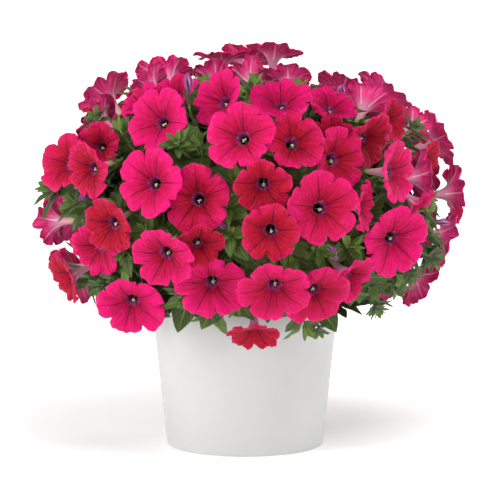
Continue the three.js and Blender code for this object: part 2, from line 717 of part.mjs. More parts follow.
function foliageSolid() {
  const others = bunches.map((bunch) => spraySolid(bunch.map((i) => blooms[i]), gap));
  others.push(potSolid(2 * gap));
  const pieces = [toSolid(heartGeometry().geometry), ...stemSolids()];
  const grow = (tip, size, seed) => {
    const grown = shootSolid(tip, size, seed, others);
    pieces.push(grown);
    others.push(grown);
  };
  frontShoots.forEach(([x, y, z, size], i) => grow(point(x, y, z), size, i));
  backShoots.forEach(([bearing, height], i) => {
    const spot = bearingPoint(bearing, height);
    const tip = spot.clone().addScaledVector(outward(spot), -shoot.backSunk);
    grow(tip, shoot.backSize, frontShoots.length + i);
  });
  budPlaces.forEach((place) => pieces.push(budSolid(place)));
  return largest(Manifold.union(pieces)).simplify(finest);
}

function piece(name, solid, colour, roughness) {
  const material = new THREE.MeshStandardMaterial({ color: colour, roughness, metalness: 0 });
  const mesh = new THREE.Mesh(toGeometry(solid), material);
  mesh.name = name;
  return mesh;
}

const petunia = new THREE.Group();
petunia.add(piece('pot', potSolid(), colours.pot, 0.35));
petunia.add(piece('soil', soilSolid(), colours.soil, 0.95));
petunia.add(piece('foliage', foliageSolid(), colours.green, 0.6));
bunches.forEach((bunch, k) => {
  const numbers = bunch.map((i) => String(i + 1).padStart(2, '0')).join('_');
  const name = bunch.length > 1 ? `blooms_${numbers}` : `bloom_${numbers}`;
  const colour = crimsonFronts.includes(bunch[0]) ? colours.crimson : colours.magenta;
  petunia.add(piece(name, spraySolids[k], colour, 0.55));
});

export default petunia;
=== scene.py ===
import math
import random

import bpy
import numpy as np
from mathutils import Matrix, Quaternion, Vector, noise
from mathutils.bvhtree import BVHTree


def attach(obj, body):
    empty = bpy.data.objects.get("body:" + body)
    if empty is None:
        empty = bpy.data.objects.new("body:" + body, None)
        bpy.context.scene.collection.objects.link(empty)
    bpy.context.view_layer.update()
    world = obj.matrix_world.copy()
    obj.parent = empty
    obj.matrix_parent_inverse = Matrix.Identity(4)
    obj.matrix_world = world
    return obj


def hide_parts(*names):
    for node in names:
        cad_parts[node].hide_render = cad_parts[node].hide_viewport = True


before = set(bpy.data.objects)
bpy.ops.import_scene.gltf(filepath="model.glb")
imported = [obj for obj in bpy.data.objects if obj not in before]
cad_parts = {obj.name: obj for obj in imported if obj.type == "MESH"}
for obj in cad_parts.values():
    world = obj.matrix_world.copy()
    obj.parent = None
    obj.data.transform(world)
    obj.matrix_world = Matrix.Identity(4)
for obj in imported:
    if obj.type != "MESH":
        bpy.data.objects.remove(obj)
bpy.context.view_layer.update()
print("frame loaded:", len(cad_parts), "nodes")

# Sizes and places on the plant and pot are in millimetres, and meshes are scaled to metres as they are
# made. Depths of relief, the floor, the lights and the camera are in metres.
mm = 0.001

# The shape of the plant, shared by its pieces.
plant = {
    "radius": 201,          # outline of the bush that the blooms sit on
    "middle": 252,
    "rise": 147,
    "drop": 152,
    "shoulder": 2.25,
    "skirt": 2.2,
    "heart": [              # radius and height of the dense leafage inside
        [106, 189], [122, 162], [136, 154], [148, 190], [149, 250], [138, 300], [100, 336], [50, 350],
    ],
    "heartSides": 16,
    "heartCrown": 354,
    "roughRadius": 0.09,
    "roughHeight": 9,
}

# Blooms in front, as in the CAD source. A scratch search made these numbers.
# Right, back and up of the throat, width, turn to the right, raise, roll, funnel depth.
frontBlooms = [
    [-80, -148, 342, 68, -33, 20, -24, 11],
    [-2, -198, 329, 67, -18, 20, 0, 10],
    [45, -193, 324, 59, 20, 24, 8, 9],
    [-87, -180, 285, 68, -26, 10, -18, 11],
    [-45, -185, 270, 68, -11, 5, 3, 9],
    [17, -210, 286, 57, -3, -20, 4, 10],
    [24, -220, 243, 58, 0, -12, -9, 9],
    [71, -205, 263, 72, 17, 4, 10, 11],
    [84, -166, 307, 62, 38, 8, -4, 11],
    [116, -118, 325, 63, 48, -23, -5, 11],
    [144, -125, 227, 71, 26, -14, 10, 12],
    [-128, -154, 244, 58, -34, -18, 2, 10],
    [-75, -203, 220, 64, -20, -27, 5, 11],
    [-45, -198, 229, 48, 16, -24, -1, 9],
    [-111, -131, 166, 70, -8, -32, 18, 12],
    [-32, -166, 188, 72, -4, -26, 6, 11],
    [28, -205, 190, 72, 3, -34, 20, 13],
    [66, -176, 182, 69, 24, -32, -5, 12],
    [9, -143, 139, 53, 0, -58, 0, 9],
    [-174, -95, 298, 62, -42, 18, 10, 11],
    [-148, -144, 297, 57, -43, -9, -10, 10],
    [-143, -101, 316, 48, -23, 12, 0, 8],
    [-147, -8, 337, 56, -118, 30, 0, 10],
    [-95, -41, 373, 52, -122, 37, -5, 9],
    [-77, -5, 382, 51, -170, 50, 20, 9],
    [-30, 6, 375, 50, 175, 52, 0, 14],
    [4, -8, 378, 46, -142, 45, 0, 14],
    [45, 0, 375, 50, 172, 50, 0, 9],
    [35, -146, 358, 64, 0, 56, 0, 10],
    [-20, -144, 361, 60, -46, 24, 10, 11],
    [84, -91, 352, 56, 28, 55, 0, 9],
    [85, -122, 324, 48, 5, 19, 0, 8],
    [121, -10, 349, 56, 152, 45, 0, 16],
    [142, -79, 341, 46, 58, 6, 0, 9],
    [172, -12, 331, 43, 125, 20, 0, 9],
    [182, -15, 295, 53, 62, -12, 0, 9],
    [140, -138, 293, 64, 56, 1, 0, 12],
    [171, -48, 281, 55, 110, 4, 0, 10],
    [167, -99, 261, 42, 62, -40, 0, 9],
    [109, -159, 262, 50, 70, -6, 0, 9],
    [99, -149, 194, 54, 47, -31, -5, 12],
    [-143, -121, 218, 57, -36, -25, 0, 10],
    [-175, -57, 183, 55, -62, -22, 0, 11],
    [-193, -19, 234, 51, -122, -6, 0, 10],
    [-190, -23, 274, 45, -110, 8, 0, 9],
    [-102, -98, 357, 46, -60, 42, 0, 9],
    [-68, -86, 364, 52, -30, 48, 0, 10],
    [82, -5, 361, 37, 165, 55, 14, 8],
    [-95, 30, 385, 40, -158, 52, 0, 8],
]

# Sprays of three blooms round the back, moved by the same search.
# Bearing from the front, height, spin, how far it stands out.
sprays = [
    [178, 390, 32, 3],
    [128, 346, 40, 3],
    [173, 340, 99, 5],
    [-138, 344, 114, 9],
    [106, 284, 0, 4],
    [146, 284, 53, 0],
    [-172, 276, 57, 7],
    [-133, 283, 67, 5],
    [106, 203, 34, 0],
    [136, 192, 104, 7],
    [170, 202, 82, 4],
    [-156, 192, 5, 3],
    [-122, 204, 68, 8],
]
sprayLook = {"count": 3, "ring": 31, "step": 6, "least": 63, "most": 69, "funnelLeast": 9, "funnelMost": 12,
             "sway": 6}

# How red each bloom is, from 0 for magenta to 1 for crimson, by its number from 1. The crimson is partly
# the bloom's own redder tone and partly painted shade on blooms that face down or away from the light.
redAndShadedBlooms = {
    6: 0.8, 7: 0.75, 12: 0.9, 14: 0.9, 19: 1, 34: 0.7, 36: 0.8, 43: 0.9, 2: 0.25, 3: 0.5, 5: 0.45, 8: 0.4,
    9: 0.45, 10: 0.6, 13: 0.2, 16: 0.15, 17: 0.3, 18: 0.35, 20: 0.5, 21: 0.6, 22: 0.55, 11: 0.1, 32: 0.6,
}

# Tips of the leafy shoots in front and on the crown: right, back, up, size.
# Most of the first 28 are the output of a scratch script.
frontShoots = [
    [-124, -105, 333, 1], [-45, -162, 324, 1.15], [-7, -185, 288, 1], [-1, -114, 368, 0.9],
    [58, -177, 286, 0.9], [-15, -188, 237, 1], [47, -180, 217, 1.15], [107, -152, 221, 0.9],
    [-174, -75, 261, 1.1], [-166, -27, 170, 1], [-121, -137, 206, 1.15], [-98, -162, 240, 1],
    [-60, -140, 163, 1.15], [-8, -155, 163, 1], [60, -132, 138, 1], [127, -101, 171, 1],
    [157, -61, 179, 1], [196, -12, 219, 1], [192, 12, 190, 0.9], [175, -7, 324, 0.9],
    [188, -50, 250, 0.8], [-115, -10, 368, 0.8], [99, -79, 361, 0.8], [24, -172, 313, 0.9],
    [37, -182, 221, 0.8], [-18, -188, 264, 0.8], [-130, -138, 260, 0.9], [-31, -136, 149, 1],
    [-62, 48, 372, 1], [-4, 44, 380, 1], [50, 52, 376, 1], [-42, -50, 378, 1],
    [10, -62, 378, 1], [56, -52, 374, 1], [104, 44, 358, 1],
]

# Bearing from the front and height of the shoots round the back and sides.
backShoots = [
    [88, 256], [122, 240], [150, 234], [178, 238], [-146, 240], [-106, 252], [112, 322],
    [144, 320], [-160, 312], [-112, 312], [82, 162], [110, 156], [142, 150], [176, 152],
    [-142, 150], [-100, 160], [150, 372], [-150, 380],
]

# Furled and fading buds: right, back and up of the tip, turn, raise, length, radius.
budPlaces = [
    [-56, -125, 389, -10, 80, 30, 3.6],
    [88, -186, 212, 58, -44, 36, 4.2],
    [-166, -92, 262, -60, -30, 22, 2.8],
    [-24, -196, 246, -40, 10, 16, 2.8],
    [-150, -66, 170, -50, -20, 16, 2.8],
    [212, -18, 232, 88, -6, 26, 3],
    [207, -8, 204, 84, -10, 14, 2.4],
    [-172, -60, 312, -70, 30, 16, 2.8],
    [98, -70, 376, 30, 66, 20, 3],
]

# Leafy tufts where leaves show between the blooms: bearing from the front, height, longest leaf.
tufts = [
    [-70, 270, 35],
    [-60, 340, 20],
    [-50, 180, 20],
    [-40, 210, 25],
    [-20, 170, 25],
    [-20, 320, 25],
    [10, 300, 20],
    [20, 220, 25],
    [30, 140, 15],
    [40, 170, 20],
    [50, 160, 20],
    [60, 190, 20],
    [80, 200, 25],
    [70, 330, 20],
]

# Where each part's own stream of draws starts.
seeds = {
    "heart": 61, "lobes": 100, "sprays": 500, "redness": 700, "shoots": 900, "trumpets": 3000,
    "stamens": 4000, "sepals": 5000, "shootLeaves": 7000, "buds": 8000, "cover": 17, "coverLeaves": 9000,
    "hem": 12000, "tufts": 13000, "soil": 77,
}
skyward = Vector((0, 0, 1))
middlePoint = Vector((0, 0, plant["middle"]))
quadCorners = ((0, 0), (1, 0), (1, 1), (0, 1))


def linear(colour):
    # sRGB hex to the linear colour that a shader takes
    parts = [int(colour[i:i + 2], 16) / 255 for i in (0, 2, 4)]
    return [c / 12.92 if c <= 0.04045 else ((c + 0.055) / 1.055) ** 2.4 for c in parts] + [1.0]


def drawer(seed):
    # a repeatable stream of draws between 0 and 1
    factor = 16807
    limit = 2147483647
    state = seed * 7919 + 17

    def draw():
        nonlocal state
        state = state * factor % limit
        return state / limit

    return draw


def smooth(low, high, value):
    t = min(1, max(0, (value - low) / (high - low)))
    return t * t * (3 - 2 * t)


def facing(turn, raiseBy):
    a = math.radians(turn)
    b = math.radians(raiseBy)
    return Vector((math.sin(a) * math.cos(b), -math.cos(a) * math.cos(b), math.sin(b)))


def axesOf(face):
    # to the viewer's right, to its top, and outwards
    nearlyUpright = 0.97
    up = skyward if abs(face.z) < nearlyUpright else Vector((0, 1, 0))
    right = up.cross(face).normalized()
    return right, face.cross(right), face


def between(one, other, angle):
    return one * math.cos(angle) + other * math.sin(angle)


def ringPoint(radius, angle, height):
    return Vector((radius * math.cos(angle), radius * math.sin(angle), height))


def circlePoint(middle, right, top, radius, angle):
    return middle + right * (radius * math.cos(angle)) + top * (radius * math.sin(angle))


def bushPart(height):
    above = height >= plant["middle"]
    return (plant["shoulder"], plant["rise"]) if above else (plant["skirt"], plant["drop"])


def onBush(p):
    power, reach = bushPart(p.z)
    level = (math.hypot(p.x, p.y) / plant["radius"]) ** power
    level += (abs(p.z - plant["middle"]) / reach) ** power
    return (p - middlePoint) / level ** (1 / power) + middlePoint


def outward(p):
    power, reach = bushPart(p.z)
    around = math.hypot(p.x, p.y)
    side = (around / plant["radius"]) ** (power - 1) / plant["radius"]
    rise = ((abs(p.z - plant["middle"]) / reach) ** (power - 1)) / reach
    if p.z < plant["middle"]:
        rise = -rise
    return Vector((side * p.x / around, side * p.y / around, rise)).normalized()


def bearingPoint(bearing, height):
    power, reach = bushPart(height)
    radius = plant["radius"] * (1 - (abs(height - plant["middle"]) / reach) ** power) ** (1 / power)
    angle = math.radians(bearing)
    return Vector((radius * math.sin(angle), -radius * math.cos(angle), height))


class MeshParts:
    # points, faces, surface map and values of a mesh, gathered part by part
    def __init__(self):
        self.points = []
        self.faces = []
        self.map = []
        self.slots = []
        self.values = {}

    def add(self, points, faces, faceMaps=None, slot=0, **values):
        first = len(self.points)
        self.points.extend(points)
        self.faces.extend([first + i for i in face] for face in faces)
        for k, face in enumerate(faces):
            self.map.extend(faceMaps[k] if faceMaps else [(0.0, 0.0)] * len(face))
            self.slots.append(slot)
        for name, value in values.items():
            store = self.values.setdefault(name, [])
            store.extend([0.0] * (first - len(store)))
            store.extend(value if hasattr(value, "__len__") else [value] * len(points))

    def make(self, name, materials, mapName="petalMap", thickness=0, backSlots=0):
        mesh = bpy.data.meshes.new(name)
        mesh.from_pydata([tuple(c * mm for c in p) for p in self.points], [], self.faces)
        layer = mesh.uv_layers.new(name=mapName)
        layer.data.foreach_set("uv", np.array(self.map, np.float32).ravel())
        for valueName, store in self.values.items():
            store.extend([0.0] * (len(self.points) - len(store)))
            attribute = mesh.attributes.new(valueName, "FLOAT", "POINT")
            attribute.data.foreach_set("value", np.array(store, np.float32))
        mesh.polygons.foreach_set("material_index", self.slots)
        mesh.polygons.foreach_set("use_smooth", [True] * len(self.faces))
        for material in materials:
            mesh.materials.append(material)
        mesh.update()
        piece = bpy.data.objects.new(name, mesh)
        bpy.context.scene.collection.objects.link(piece)
        if thickness:
            sheet = piece.modifiers.new("thickness", "SOLIDIFY")
            sheet.thickness = thickness * mm
            sheet.offset = -1
            sheet.material_offset = backSlots
            sheet.material_offset_rim = 0
        return piece


def gridFaces(rows, columns, closed=False):
    faces = []
    for r in range(rows - 1):
        low = r * columns
        high = low + columns
        for c in range(columns if closed else columns - 1):
            after = (c + 1) % columns
            faces.append([low + c, low + after, high + after, high + c])
    return faces


def capFaces(rings, sides):
    last = (rings - 1) * sides
    return [list(range(sides))[::-1], [last + i for i in range(sides)]]


def turnedOver(faces):
    return [face[::-1] for face in faces]


def tubeParts(parts, route, radii, sides=8, slot=0, **values):
    # a round stem through some points, closed at both ends
    mapRings = 4                          # rings to one length of the surface map
    points = []
    right = None
    for k, spot in enumerate(route):
        along = (route[min(k + 1, len(route) - 1)] - route[max(k - 1, 0)]).normalized()
        if right is None:
            right = axesOf(along)[0]
        right = (right - along * right.dot(along)).normalized()
        top = along.cross(right)
        for i in range(sides):
            points.append(circlePoint(spot, right, top, radii[k], 2 * math.pi * i / sides))
    faces = gridFaces(len(route), sides, closed=True)
    maps = []
    for face in faces:
        k, i = divmod(face[0], sides)
        maps.append([((i + across) / sides, (k + on) / mapRings) for across, on in quadCorners])
    faces += capFaces(len(route), sides)
    maps += [[(0.0, 0.0)] * sides] * 2
    parts.add(points, faces, maps, slot, **values)


def bend(start, startWay, end, endWay, steps=8):
    # a smooth curve that leaves the start along one way and comes to the end along another
    pull = 0.35
    reach = (end - start).length * pull
    one = start + startWay * reach
    two = end - endWay * reach
    spots = []
    for k in range(steps + 1):
        t = k / steps
        s = 1 - t
        spots.append(start * s ** 3 + one * (3 * s * s * t) + two * (3 * s * t * t) + end * t ** 3)
    return spots


# The rough ball of the heart, the same that carries the stalks.
def heartMesh():
    draw = drawer(seeds["heart"])
    sides = plant["heartSides"]
    points = [Vector((0, 0, plant["heart"][0][1]))]
    for radius, height in plant["heart"]:
        for i in range(sides):
            reach = radius * (1 + plant["roughRadius"] * (draw() - 0.5))
            level = height + plant["roughHeight"] * (draw() - 0.5)
            points.append(ringPoint(reach, 2 * math.pi * i / sides, level))
    points.append(Vector((0, 0, plant["heartCrown"])))
    last = len(points) - 1
    high = last - sides
    faces = []
    for i in range(sides):
        nextI = (i + 1) % sides
        faces.append([0, 1 + nextI, 1 + i])
        faces.append([last, high + i, high + nextI])
        for k in range(1, high, sides):
            faces.append([k + i, k + nextI, k + sides + nextI])
            faces.append([k + i, k + sides + nextI, k + sides + i])
    return points, faces


heartPoints, heartFaces = heartMesh()
heartTree = BVHTree.FromPolygons(heartPoints, heartFaces)


def onHeart(p, beyond):
    way = (p - middlePoint).normalized()
    return heartTree.ray_cast(middlePoint, way)[0] + way * beyond


# A setting that is a socket becomes a link. Any other goes to the node's own socket or property.
def setNode(node, settings):
    for key, value in settings.items():
        if isinstance(value, bpy.types.NodeSocket):
            node.id_data.links.new(value, node.inputs[key])
        elif isinstance(key, int) or key in node.inputs:
            node.inputs[key].default_value = value
        else:
            setattr(node, key, value)


# One function adds a node with its settings and links, and hands back one of its outputs.
def addNode(tree, kind, settings, output=0):
    node = tree.nodes.new(kind)
    setNode(node, settings)
    return node.outputs[output]


def ranged(tree, value, limits, soft=False):
    # limits hold where it starts and ends, then what it gives at each, 0 and 1 unless told
    start, end, atStart, atEnd = (*limits, 0.0, 1.0)[:4]
    return addNode(tree, "ShaderNodeMapRange", {
        "interpolation_type": "SMOOTHSTEP" if soft else "LINEAR",
        "From Min": start, "From Max": end, "To Min": atStart, "To Max": atEnd, 0: value,
    })


def maths(tree, operation, *values, clamp=False):
    return addNode(tree, "ShaderNodeMath", {
        "operation": operation, "use_clamp": clamp, **dict(enumerate(values)),
    })


def times(tree, one, other):
    return maths(tree, "MULTIPLY", one, other)


def blend(tree, share, under, over):
    # a colour is given as hex or comes from another node
    under, over = [linear(c) if isinstance(c, str) else c for c in (under, over)]
    return addNode(tree, "ShaderNodeMix", {"data_type": "RGBA", 0: share, 6: under, 7: over}, 2)


def tones(tree, value, stops):
    output = addNode(tree, "ShaderNodeValToRGB", {0: value})
    ramp = output.node.color_ramp
    while len(ramp.elements) < len(stops):
        ramp.elements.new(0.5)
    for element, (place, colour) in zip(ramp.elements, stops):
        element.position = place
        element.color = linear(colour)
    return output


def grain(tree, place, scale, detail, roughness=0.5, distortion=0.0):
    # soft noise, drawn out along each axis where the scale has three numbers
    if isinstance(scale, tuple):
        place = addNode(tree, "ShaderNodeMapping", {0: place, "Scale": scale})
        scale = 1.0
    return addNode(tree, "ShaderNodeTexNoise", {
        "Vector": place, "Scale": scale, "Detail": detail, "Roughness": roughness, "Distortion": distortion,
    })


def bump(tree, height, strength, depth, invert=False):
    return addNode(tree, "ShaderNodeBump", {
        "Height": height, "Strength": strength, "Distance": depth, "invert": invert,
    })


def valueOf(tree, name):
    return addNode(tree, "ShaderNodeAttribute", {"attribute_name": name}, "Fac")


def inSpace(tree):
    return addNode(tree, "ShaderNodeTexCoord", {}, "Object")


def splitUp(tree, place):
    return addNode(tree, "ShaderNodeSeparateXYZ", {0: place}).node.outputs


def surfaceMap(tree, name):
    return addNode(tree, "ShaderNodeUVMap", {"uv_map": name})


def newMaterial(name, look, paint):
    # paint adds the nodes, and says which of the surface's inputs they go to
    material = bpy.data.materials.new(name)
    material.use_nodes = True
    tree = material.node_tree
    setNode(tree.nodes["Principled BSDF"], {**look["surface"], **paint(tree, look)})
    return material


def onPetal(tree):
    # how far along a lobe, and a place for noise that is each bloom's own
    across, along, _ = splitUp(tree, surfaceMap(tree, "petalMap"))
    return along, addNode(tree, "ShaderNodeCombineXYZ", {0: across, 1: along, 2: valueOf(tree, "own")})


# Colours of the petals, and their marks. Limits say where a mark starts and ends, then how strong it is at
# each, 0 and 1 unless told. A level is one of the noise or of the redness and painted shade, a line is a
# distance from its middle, and burgundy is a depth of the throat's shade. The others run along a lobe, from
# 0 at the throat's lip to 1 at the rim, and below 0 inside the throat. Streaks, patches, creases, folds and
# cells are noise: its scale, which is across a lobe, along it and by bloom where there are three, then its
# detail, and roughness and distortion if any.
petalLook = {
    "magenta": "da056a",
    "crimson": "aa0828",
    "vein": "660624",
    "streak": "85082c",
    "throat": "20020f",
    "throatRim": "94206c",
    "lilac": "d8a4d4",
    "edge": "f20c80",
    # painted highlight, on the creases and on single cells near the rim
    "paintedHighlight": "ff6aac",
    "back": "ee1c7c",
    "backPale": "ff6cae",
    "backRib": "ffd6dc",
    "tube": "d88cac",
    "tubeFoot": "a8a864",
    "sheen": "ff9cc4",
    "streaks": ((13, 1.1, 9), 4.0, 0.6),
    "patches": ((1.1, 1.6, 5), 2.0),
    "creases": ((1.1, 2.0, 7), 1.5, 0.5, 0.5),
    "folds": ((3.4, 1.5, 9), 2.0),
    "cells": (900.0, 2.0),
    "redInward": (0.95, 0.0, 0.0, 0.5),
    "redAndShadeLevel": (0.55, 1.45),
    "streakLevel": (0.45, 0.66),
    "streakFade": (0.0, 0.85, 0.6, 0.12),
    "sideVeins": 2.4,
    "sideWander": 0.5,
    "sideStart": 0.1,
    "sideLine": (0.03, 0.12, 1.0, 0.0),
    "sideFade": (0.0, 0.55, 0.6, 0.0),
    "veinFiner": (0.0, 1.0, 1.0, 2.1),
    "veinLine": (0.25, 1.1, 1.0, 0.0),
    "veinFade": (0.2, 0.97, 0.88, 0.25),
    "rimBand": (0.86, 1.0, 0.0, 0.35),
    "creaseLine": (0.0, 0.022, 1.0, 0.0),
    # where the painted highlight shows on the creases and on the rim cells
    "creaseHighlightFade": (0.25, 0.7, 0.0, 0.14),
    "paintedGlintLevel": (0.58, 0.74, 0.0, 0.3),
    "paintedGlintFade": (0.45, 0.95),
    "throatStart": (-0.085, -0.27),
    "throatUneven": 0.9,
    "burgundy": (0.12, 0.5),
    "blackInside": (-0.14, -0.4),
    "lilacLevel": (0.52, 0.6, 0.0, 0.5),
    "lilacFade": (-0.42, -0.16),
    "foldHeight": 3.0,
    "cellHeight": 0.3,
    "creaseHeight": 0.7,
    "veinHeight": -1.4,
    "bump": (0.85, 0.001),
    "roughness": (0.0, 1.0, 0.5, 0.7),
    "surface": {"IOR": 1.4, "Specular IOR Level": 0.18, "Sheen Weight": 0.03, "Sheen Roughness": 0.4},
}


# Petunia petals are thin and velvety: the eye gets a deep matt colour that reddens towards the throat,
# a fine dark vein down the middle of each lobe, and faint streaks out of a near-black throat.
def petalFacePaint(tree, look):
    along, place = onPetal(tree)
    # streaks about 0.6 mm apart, drawn out along the lobe, and soft patches some 12 mm across
    streaks = grain(tree, place, *look["streaks"])
    patches = grain(tree, place, *look["patches"])
    # redder towards the throat, and by each bloom's redness, partly painted shade on blooms facing down, and
    # by soft patches
    redAndShade = maths(tree, "ADD", ranged(tree, along, look["redInward"]), valueOf(tree, "redness"))
    redAndShade = maths(tree, "ADD", patches, redAndShade)
    colour = blend(tree, ranged(tree, redAndShade, look["redAndShadeLevel"]), look["magenta"], look["crimson"])
    # streaks darken the inner half
    streakLevel = ranged(tree, streaks, look["streakLevel"])
    streakShare = times(tree, streakLevel, ranged(tree, along, look["streakFade"]))
    colour = blend(tree, streakShare, colour, look["streak"])
    # two side veins on each half of a lobe, fading before half-way
    wander = maths(tree, "MULTIPLY_ADD", patches, look["sideWander"], look["sideStart"])
    veinPlace = maths(tree, "MULTIPLY_ADD", valueOf(tree, "lobeEdge"), look["sideVeins"], wander)
    sideLine = ranged(tree, maths(tree, "PINGPONG", veinPlace, 0.5), look["sideLine"], soft=True)
    sideShare = times(tree, sideLine, ranged(tree, along, look["sideFade"]))
    # the vein down the middle, 1 mm wide near the throat and finer at the rim
    veinReach = times(tree, valueOf(tree, "fromVein"), ranged(tree, along, look["veinFiner"]))
    midLine = ranged(tree, veinReach, look["veinLine"], soft=True)
    midShare = times(tree, midLine, ranged(tree, along, look["veinFade"]))
    veins = maths(tree, "MAXIMUM", midShare, sideShare)
    colour = blend(tree, veins, colour, look["vein"])
    # the rim is a little pinker
    colour = blend(tree, ranged(tree, along, look["rimBand"], soft=True), colour, look["edge"])
    # thin creases, as in crepe paper, with a painted highlight along them
    field = grain(tree, place, *look["creases"])
    fromCrease = maths(tree, "ABSOLUTE", maths(tree, "SUBTRACT", field, 0.5))
    crease = ranged(tree, fromCrease, look["creaseLine"], soft=True)
    creaseHighlightShare = times(tree, crease, ranged(tree, along, look["creaseHighlightFade"]))
    colour = blend(tree, creaseHighlightShare, colour, look["paintedHighlight"])
    # single cells near the rim get a painted glint
    cells = grain(tree, inSpace(tree), *look["cells"])
    paintedGlintFade = ranged(tree, along, look["paintedGlintFade"], soft=True)
    paintedGlintShare = times(tree, ranged(tree, cells, look["paintedGlintLevel"]), paintedGlintFade)
    colour = blend(tree, paintedGlintShare, colour, look["paintedHighlight"])
    # the throat: burgundy at its lip, near black inside, with lilac streaks between
    uneven = maths(tree, "MULTIPLY_ADD", streaks, look["throatUneven"], -look["throatUneven"] / 2)
    deeper = maths(tree, "ADD", ranged(tree, along, look["throatStart"]), uneven, clamp=True)
    throat = blend(tree, ranged(tree, along, look["blackInside"]), look["throatRim"], look["throat"])
    lilacFade = ranged(tree, along, look["lilacFade"], soft=True)
    lilacShare = times(tree, ranged(tree, streaks, look["lilacLevel"]), lilacFade)
    throat = blend(tree, lilacShare, throat, look["lilac"])
    colour = blend(tree, ranged(tree, deeper, look["burgundy"], soft=True), colour, throat)
    # soft folds about 4 mm apart, velvet cells, raised creases and pressed veins
    folds = grain(tree, place, *look["folds"])
    relief = streaks
    for mark, name in ((folds, "foldHeight"), (cells, "cellHeight"), (crease, "creaseHeight"),
                       (veins, "veinHeight")):
        relief = maths(tree, "MULTIPLY_ADD", mark, look[name], relief)
    return {"Sheen Tint": linear(look["sheen"]), "Base Color": colour,
            "Normal": bump(tree, relief, *look["bump"]),
            "Roughness": ranged(tree, streaks, look["roughness"])}


petalBackLook = {
    "streaks": ((14, 1.2, 9), 4.0),
    "pale": (0.42, 0.74),
    "tubeFade": (0.12, -0.25),
    "footFade": (-0.3, -0.85),
    "ribLine": (0.2, 1.1, 0.75, 0.0),
    "ribFade": (0.1, 0.85, 1.0, 0.15),
    "bump": (0.45, 0.0006),
    "surface": {"IOR": 1.4, "Specular IOR Level": 0.35, "Sheen Weight": 0.08, "Sheen Roughness": 0.4,
                "Roughness": 0.5},
}


# The underside of a petal is silkier, with a pale rib along each lobe and a paler, greenish tube.
def petalBackPaint(tree, look):
    along, place = onPetal(tree)
    streaks = grain(tree, place, *look["streaks"])
    colour = blend(tree, ranged(tree, streaks, look["pale"]), petalLook["back"], petalLook["backPale"])
    colour = blend(tree, ranged(tree, along, look["tubeFade"], soft=True), colour, petalLook["tube"])
    colour = blend(tree, ranged(tree, along, look["footFade"], soft=True), colour, petalLook["tubeFoot"])
    ribLine = ranged(tree, valueOf(tree, "fromVein"), look["ribLine"], soft=True)
    ribShare = times(tree, ribLine, ranged(tree, along, look["ribFade"]))
    return {"Sheen Tint": linear(petalLook["sheen"]),
            "Base Color": blend(tree, ribShare, colour, petalLook["backRib"]),
            "Normal": bump(tree, streaks, *look["bump"])}


def grainyPaint(tree, look):
    # one pattern gives both the tones and the relief
    pattern = addNode(tree, look["kind"], {"Vector": inSpace(tree), **look["pattern"]})
    return {"Base Color": tones(tree, pattern, look["tones"]), "Normal": bump(tree, pattern, *look["bump"])}


# Anthers are dusty with pollen: pale, matt and grainy.
antherLook = {
    "kind": "ShaderNodeTexNoise",
    "pattern": {"Scale": 1800.0, "Detail": 3.0},
    "tones": [(0.35, "ebe6a8"), (0.65, "fffbe4")],
    "bump": (0.6, 0.0003),
    "surface": {"IOR": 1.45, "Roughness": 0.8, "Specular IOR Level": 0.3},
}

leafLook = {
    "tones": [(0.1, "273612"), (0.62, "475f25"), (1.0, "6a8636")],
    "vein": "8ea25c",
    "patches": (220.0, 3.0),
    "patchShare": 0.35,
    "slant": -0.34,
    "sideVeins": 7.0,
    "sideLine": (0.02, 0.1, 0.55, 0.0),
    "rib": (0.03, 0.11, 0.9, 0.0),
    "veinShare": 0.6,
    "hairs": (1400.0, 2.0),
    "hairHeight": 0.3,
    "bump": (0.6, 0.0007),
    "roughness": (0.0, 1.0, 0.42, 0.62),
    "sheen": "dff0c0",
    "surface": {"IOR": 1.42, "Specular IOR Level": 0.35, "Sheen Weight": 0.05, "Sheen Roughness": 0.5},
}


# Petunia leaves are soft and covered in fine sticky hairs: a mid green with a dull, slightly greasy sheen,
# a paler rib, sunken side veins and a dusty look at a slant.
def leafPaint(tree, look):
    across, along, _ = splitUp(tree, surfaceMap(tree, "leafMap"))
    side = maths(tree, "ABSOLUTE", across)
    spots = inSpace(tree)
    patches = grain(tree, spots, *look["patches"])
    # a leaf's tone: low for leaves on the heart and under its edge, a painted shade; high for young leaves
    # at the shoot tips; patches vary it at random
    tone = maths(tree, "MULTIPLY_ADD", patches, look["patchShare"], valueOf(tree, "tone"), clamp=True)
    # side veins leave the rib at a slant, seven to a side
    slant = maths(tree, "MULTIPLY_ADD", side, look["slant"], along)
    wave = maths(tree, "PINGPONG", times(tree, slant, look["sideVeins"]), 0.5)
    sideLine = ranged(tree, wave, look["sideLine"], soft=True)
    veins = maths(tree, "MAXIMUM", sideLine, ranged(tree, side, look["rib"], soft=True))
    green = tones(tree, tone, look["tones"])
    hairs = grain(tree, spots, *look["hairs"])
    relief = maths(tree, "MULTIPLY_ADD", hairs, look["hairHeight"], patches)
    relief = maths(tree, "SUBTRACT", relief, veins)
    return {"Sheen Tint": linear(look["sheen"]),
            "Base Color": blend(tree, times(tree, veins, look["veinShare"]), green, look["vein"]),
            "Normal": bump(tree, relief, *look["bump"]),
            "Roughness": ranged(tree, patches, look["roughness"])}


leafUnderLook = {
    "tones": [(0.3, "5c784a"), (0.7, "6e8652")],
    "patches": (260.0, 3.0),
    "rib": (0.04, 0.16, 0.7, 0.0),
    "bump": (0.5, 0.0006),
    "surface": {"IOR": 1.42, "Specular IOR Level": 0.3, "Sheen Weight": 0.3, "Sheen Roughness": 0.5,
                "Roughness": 0.65},
}


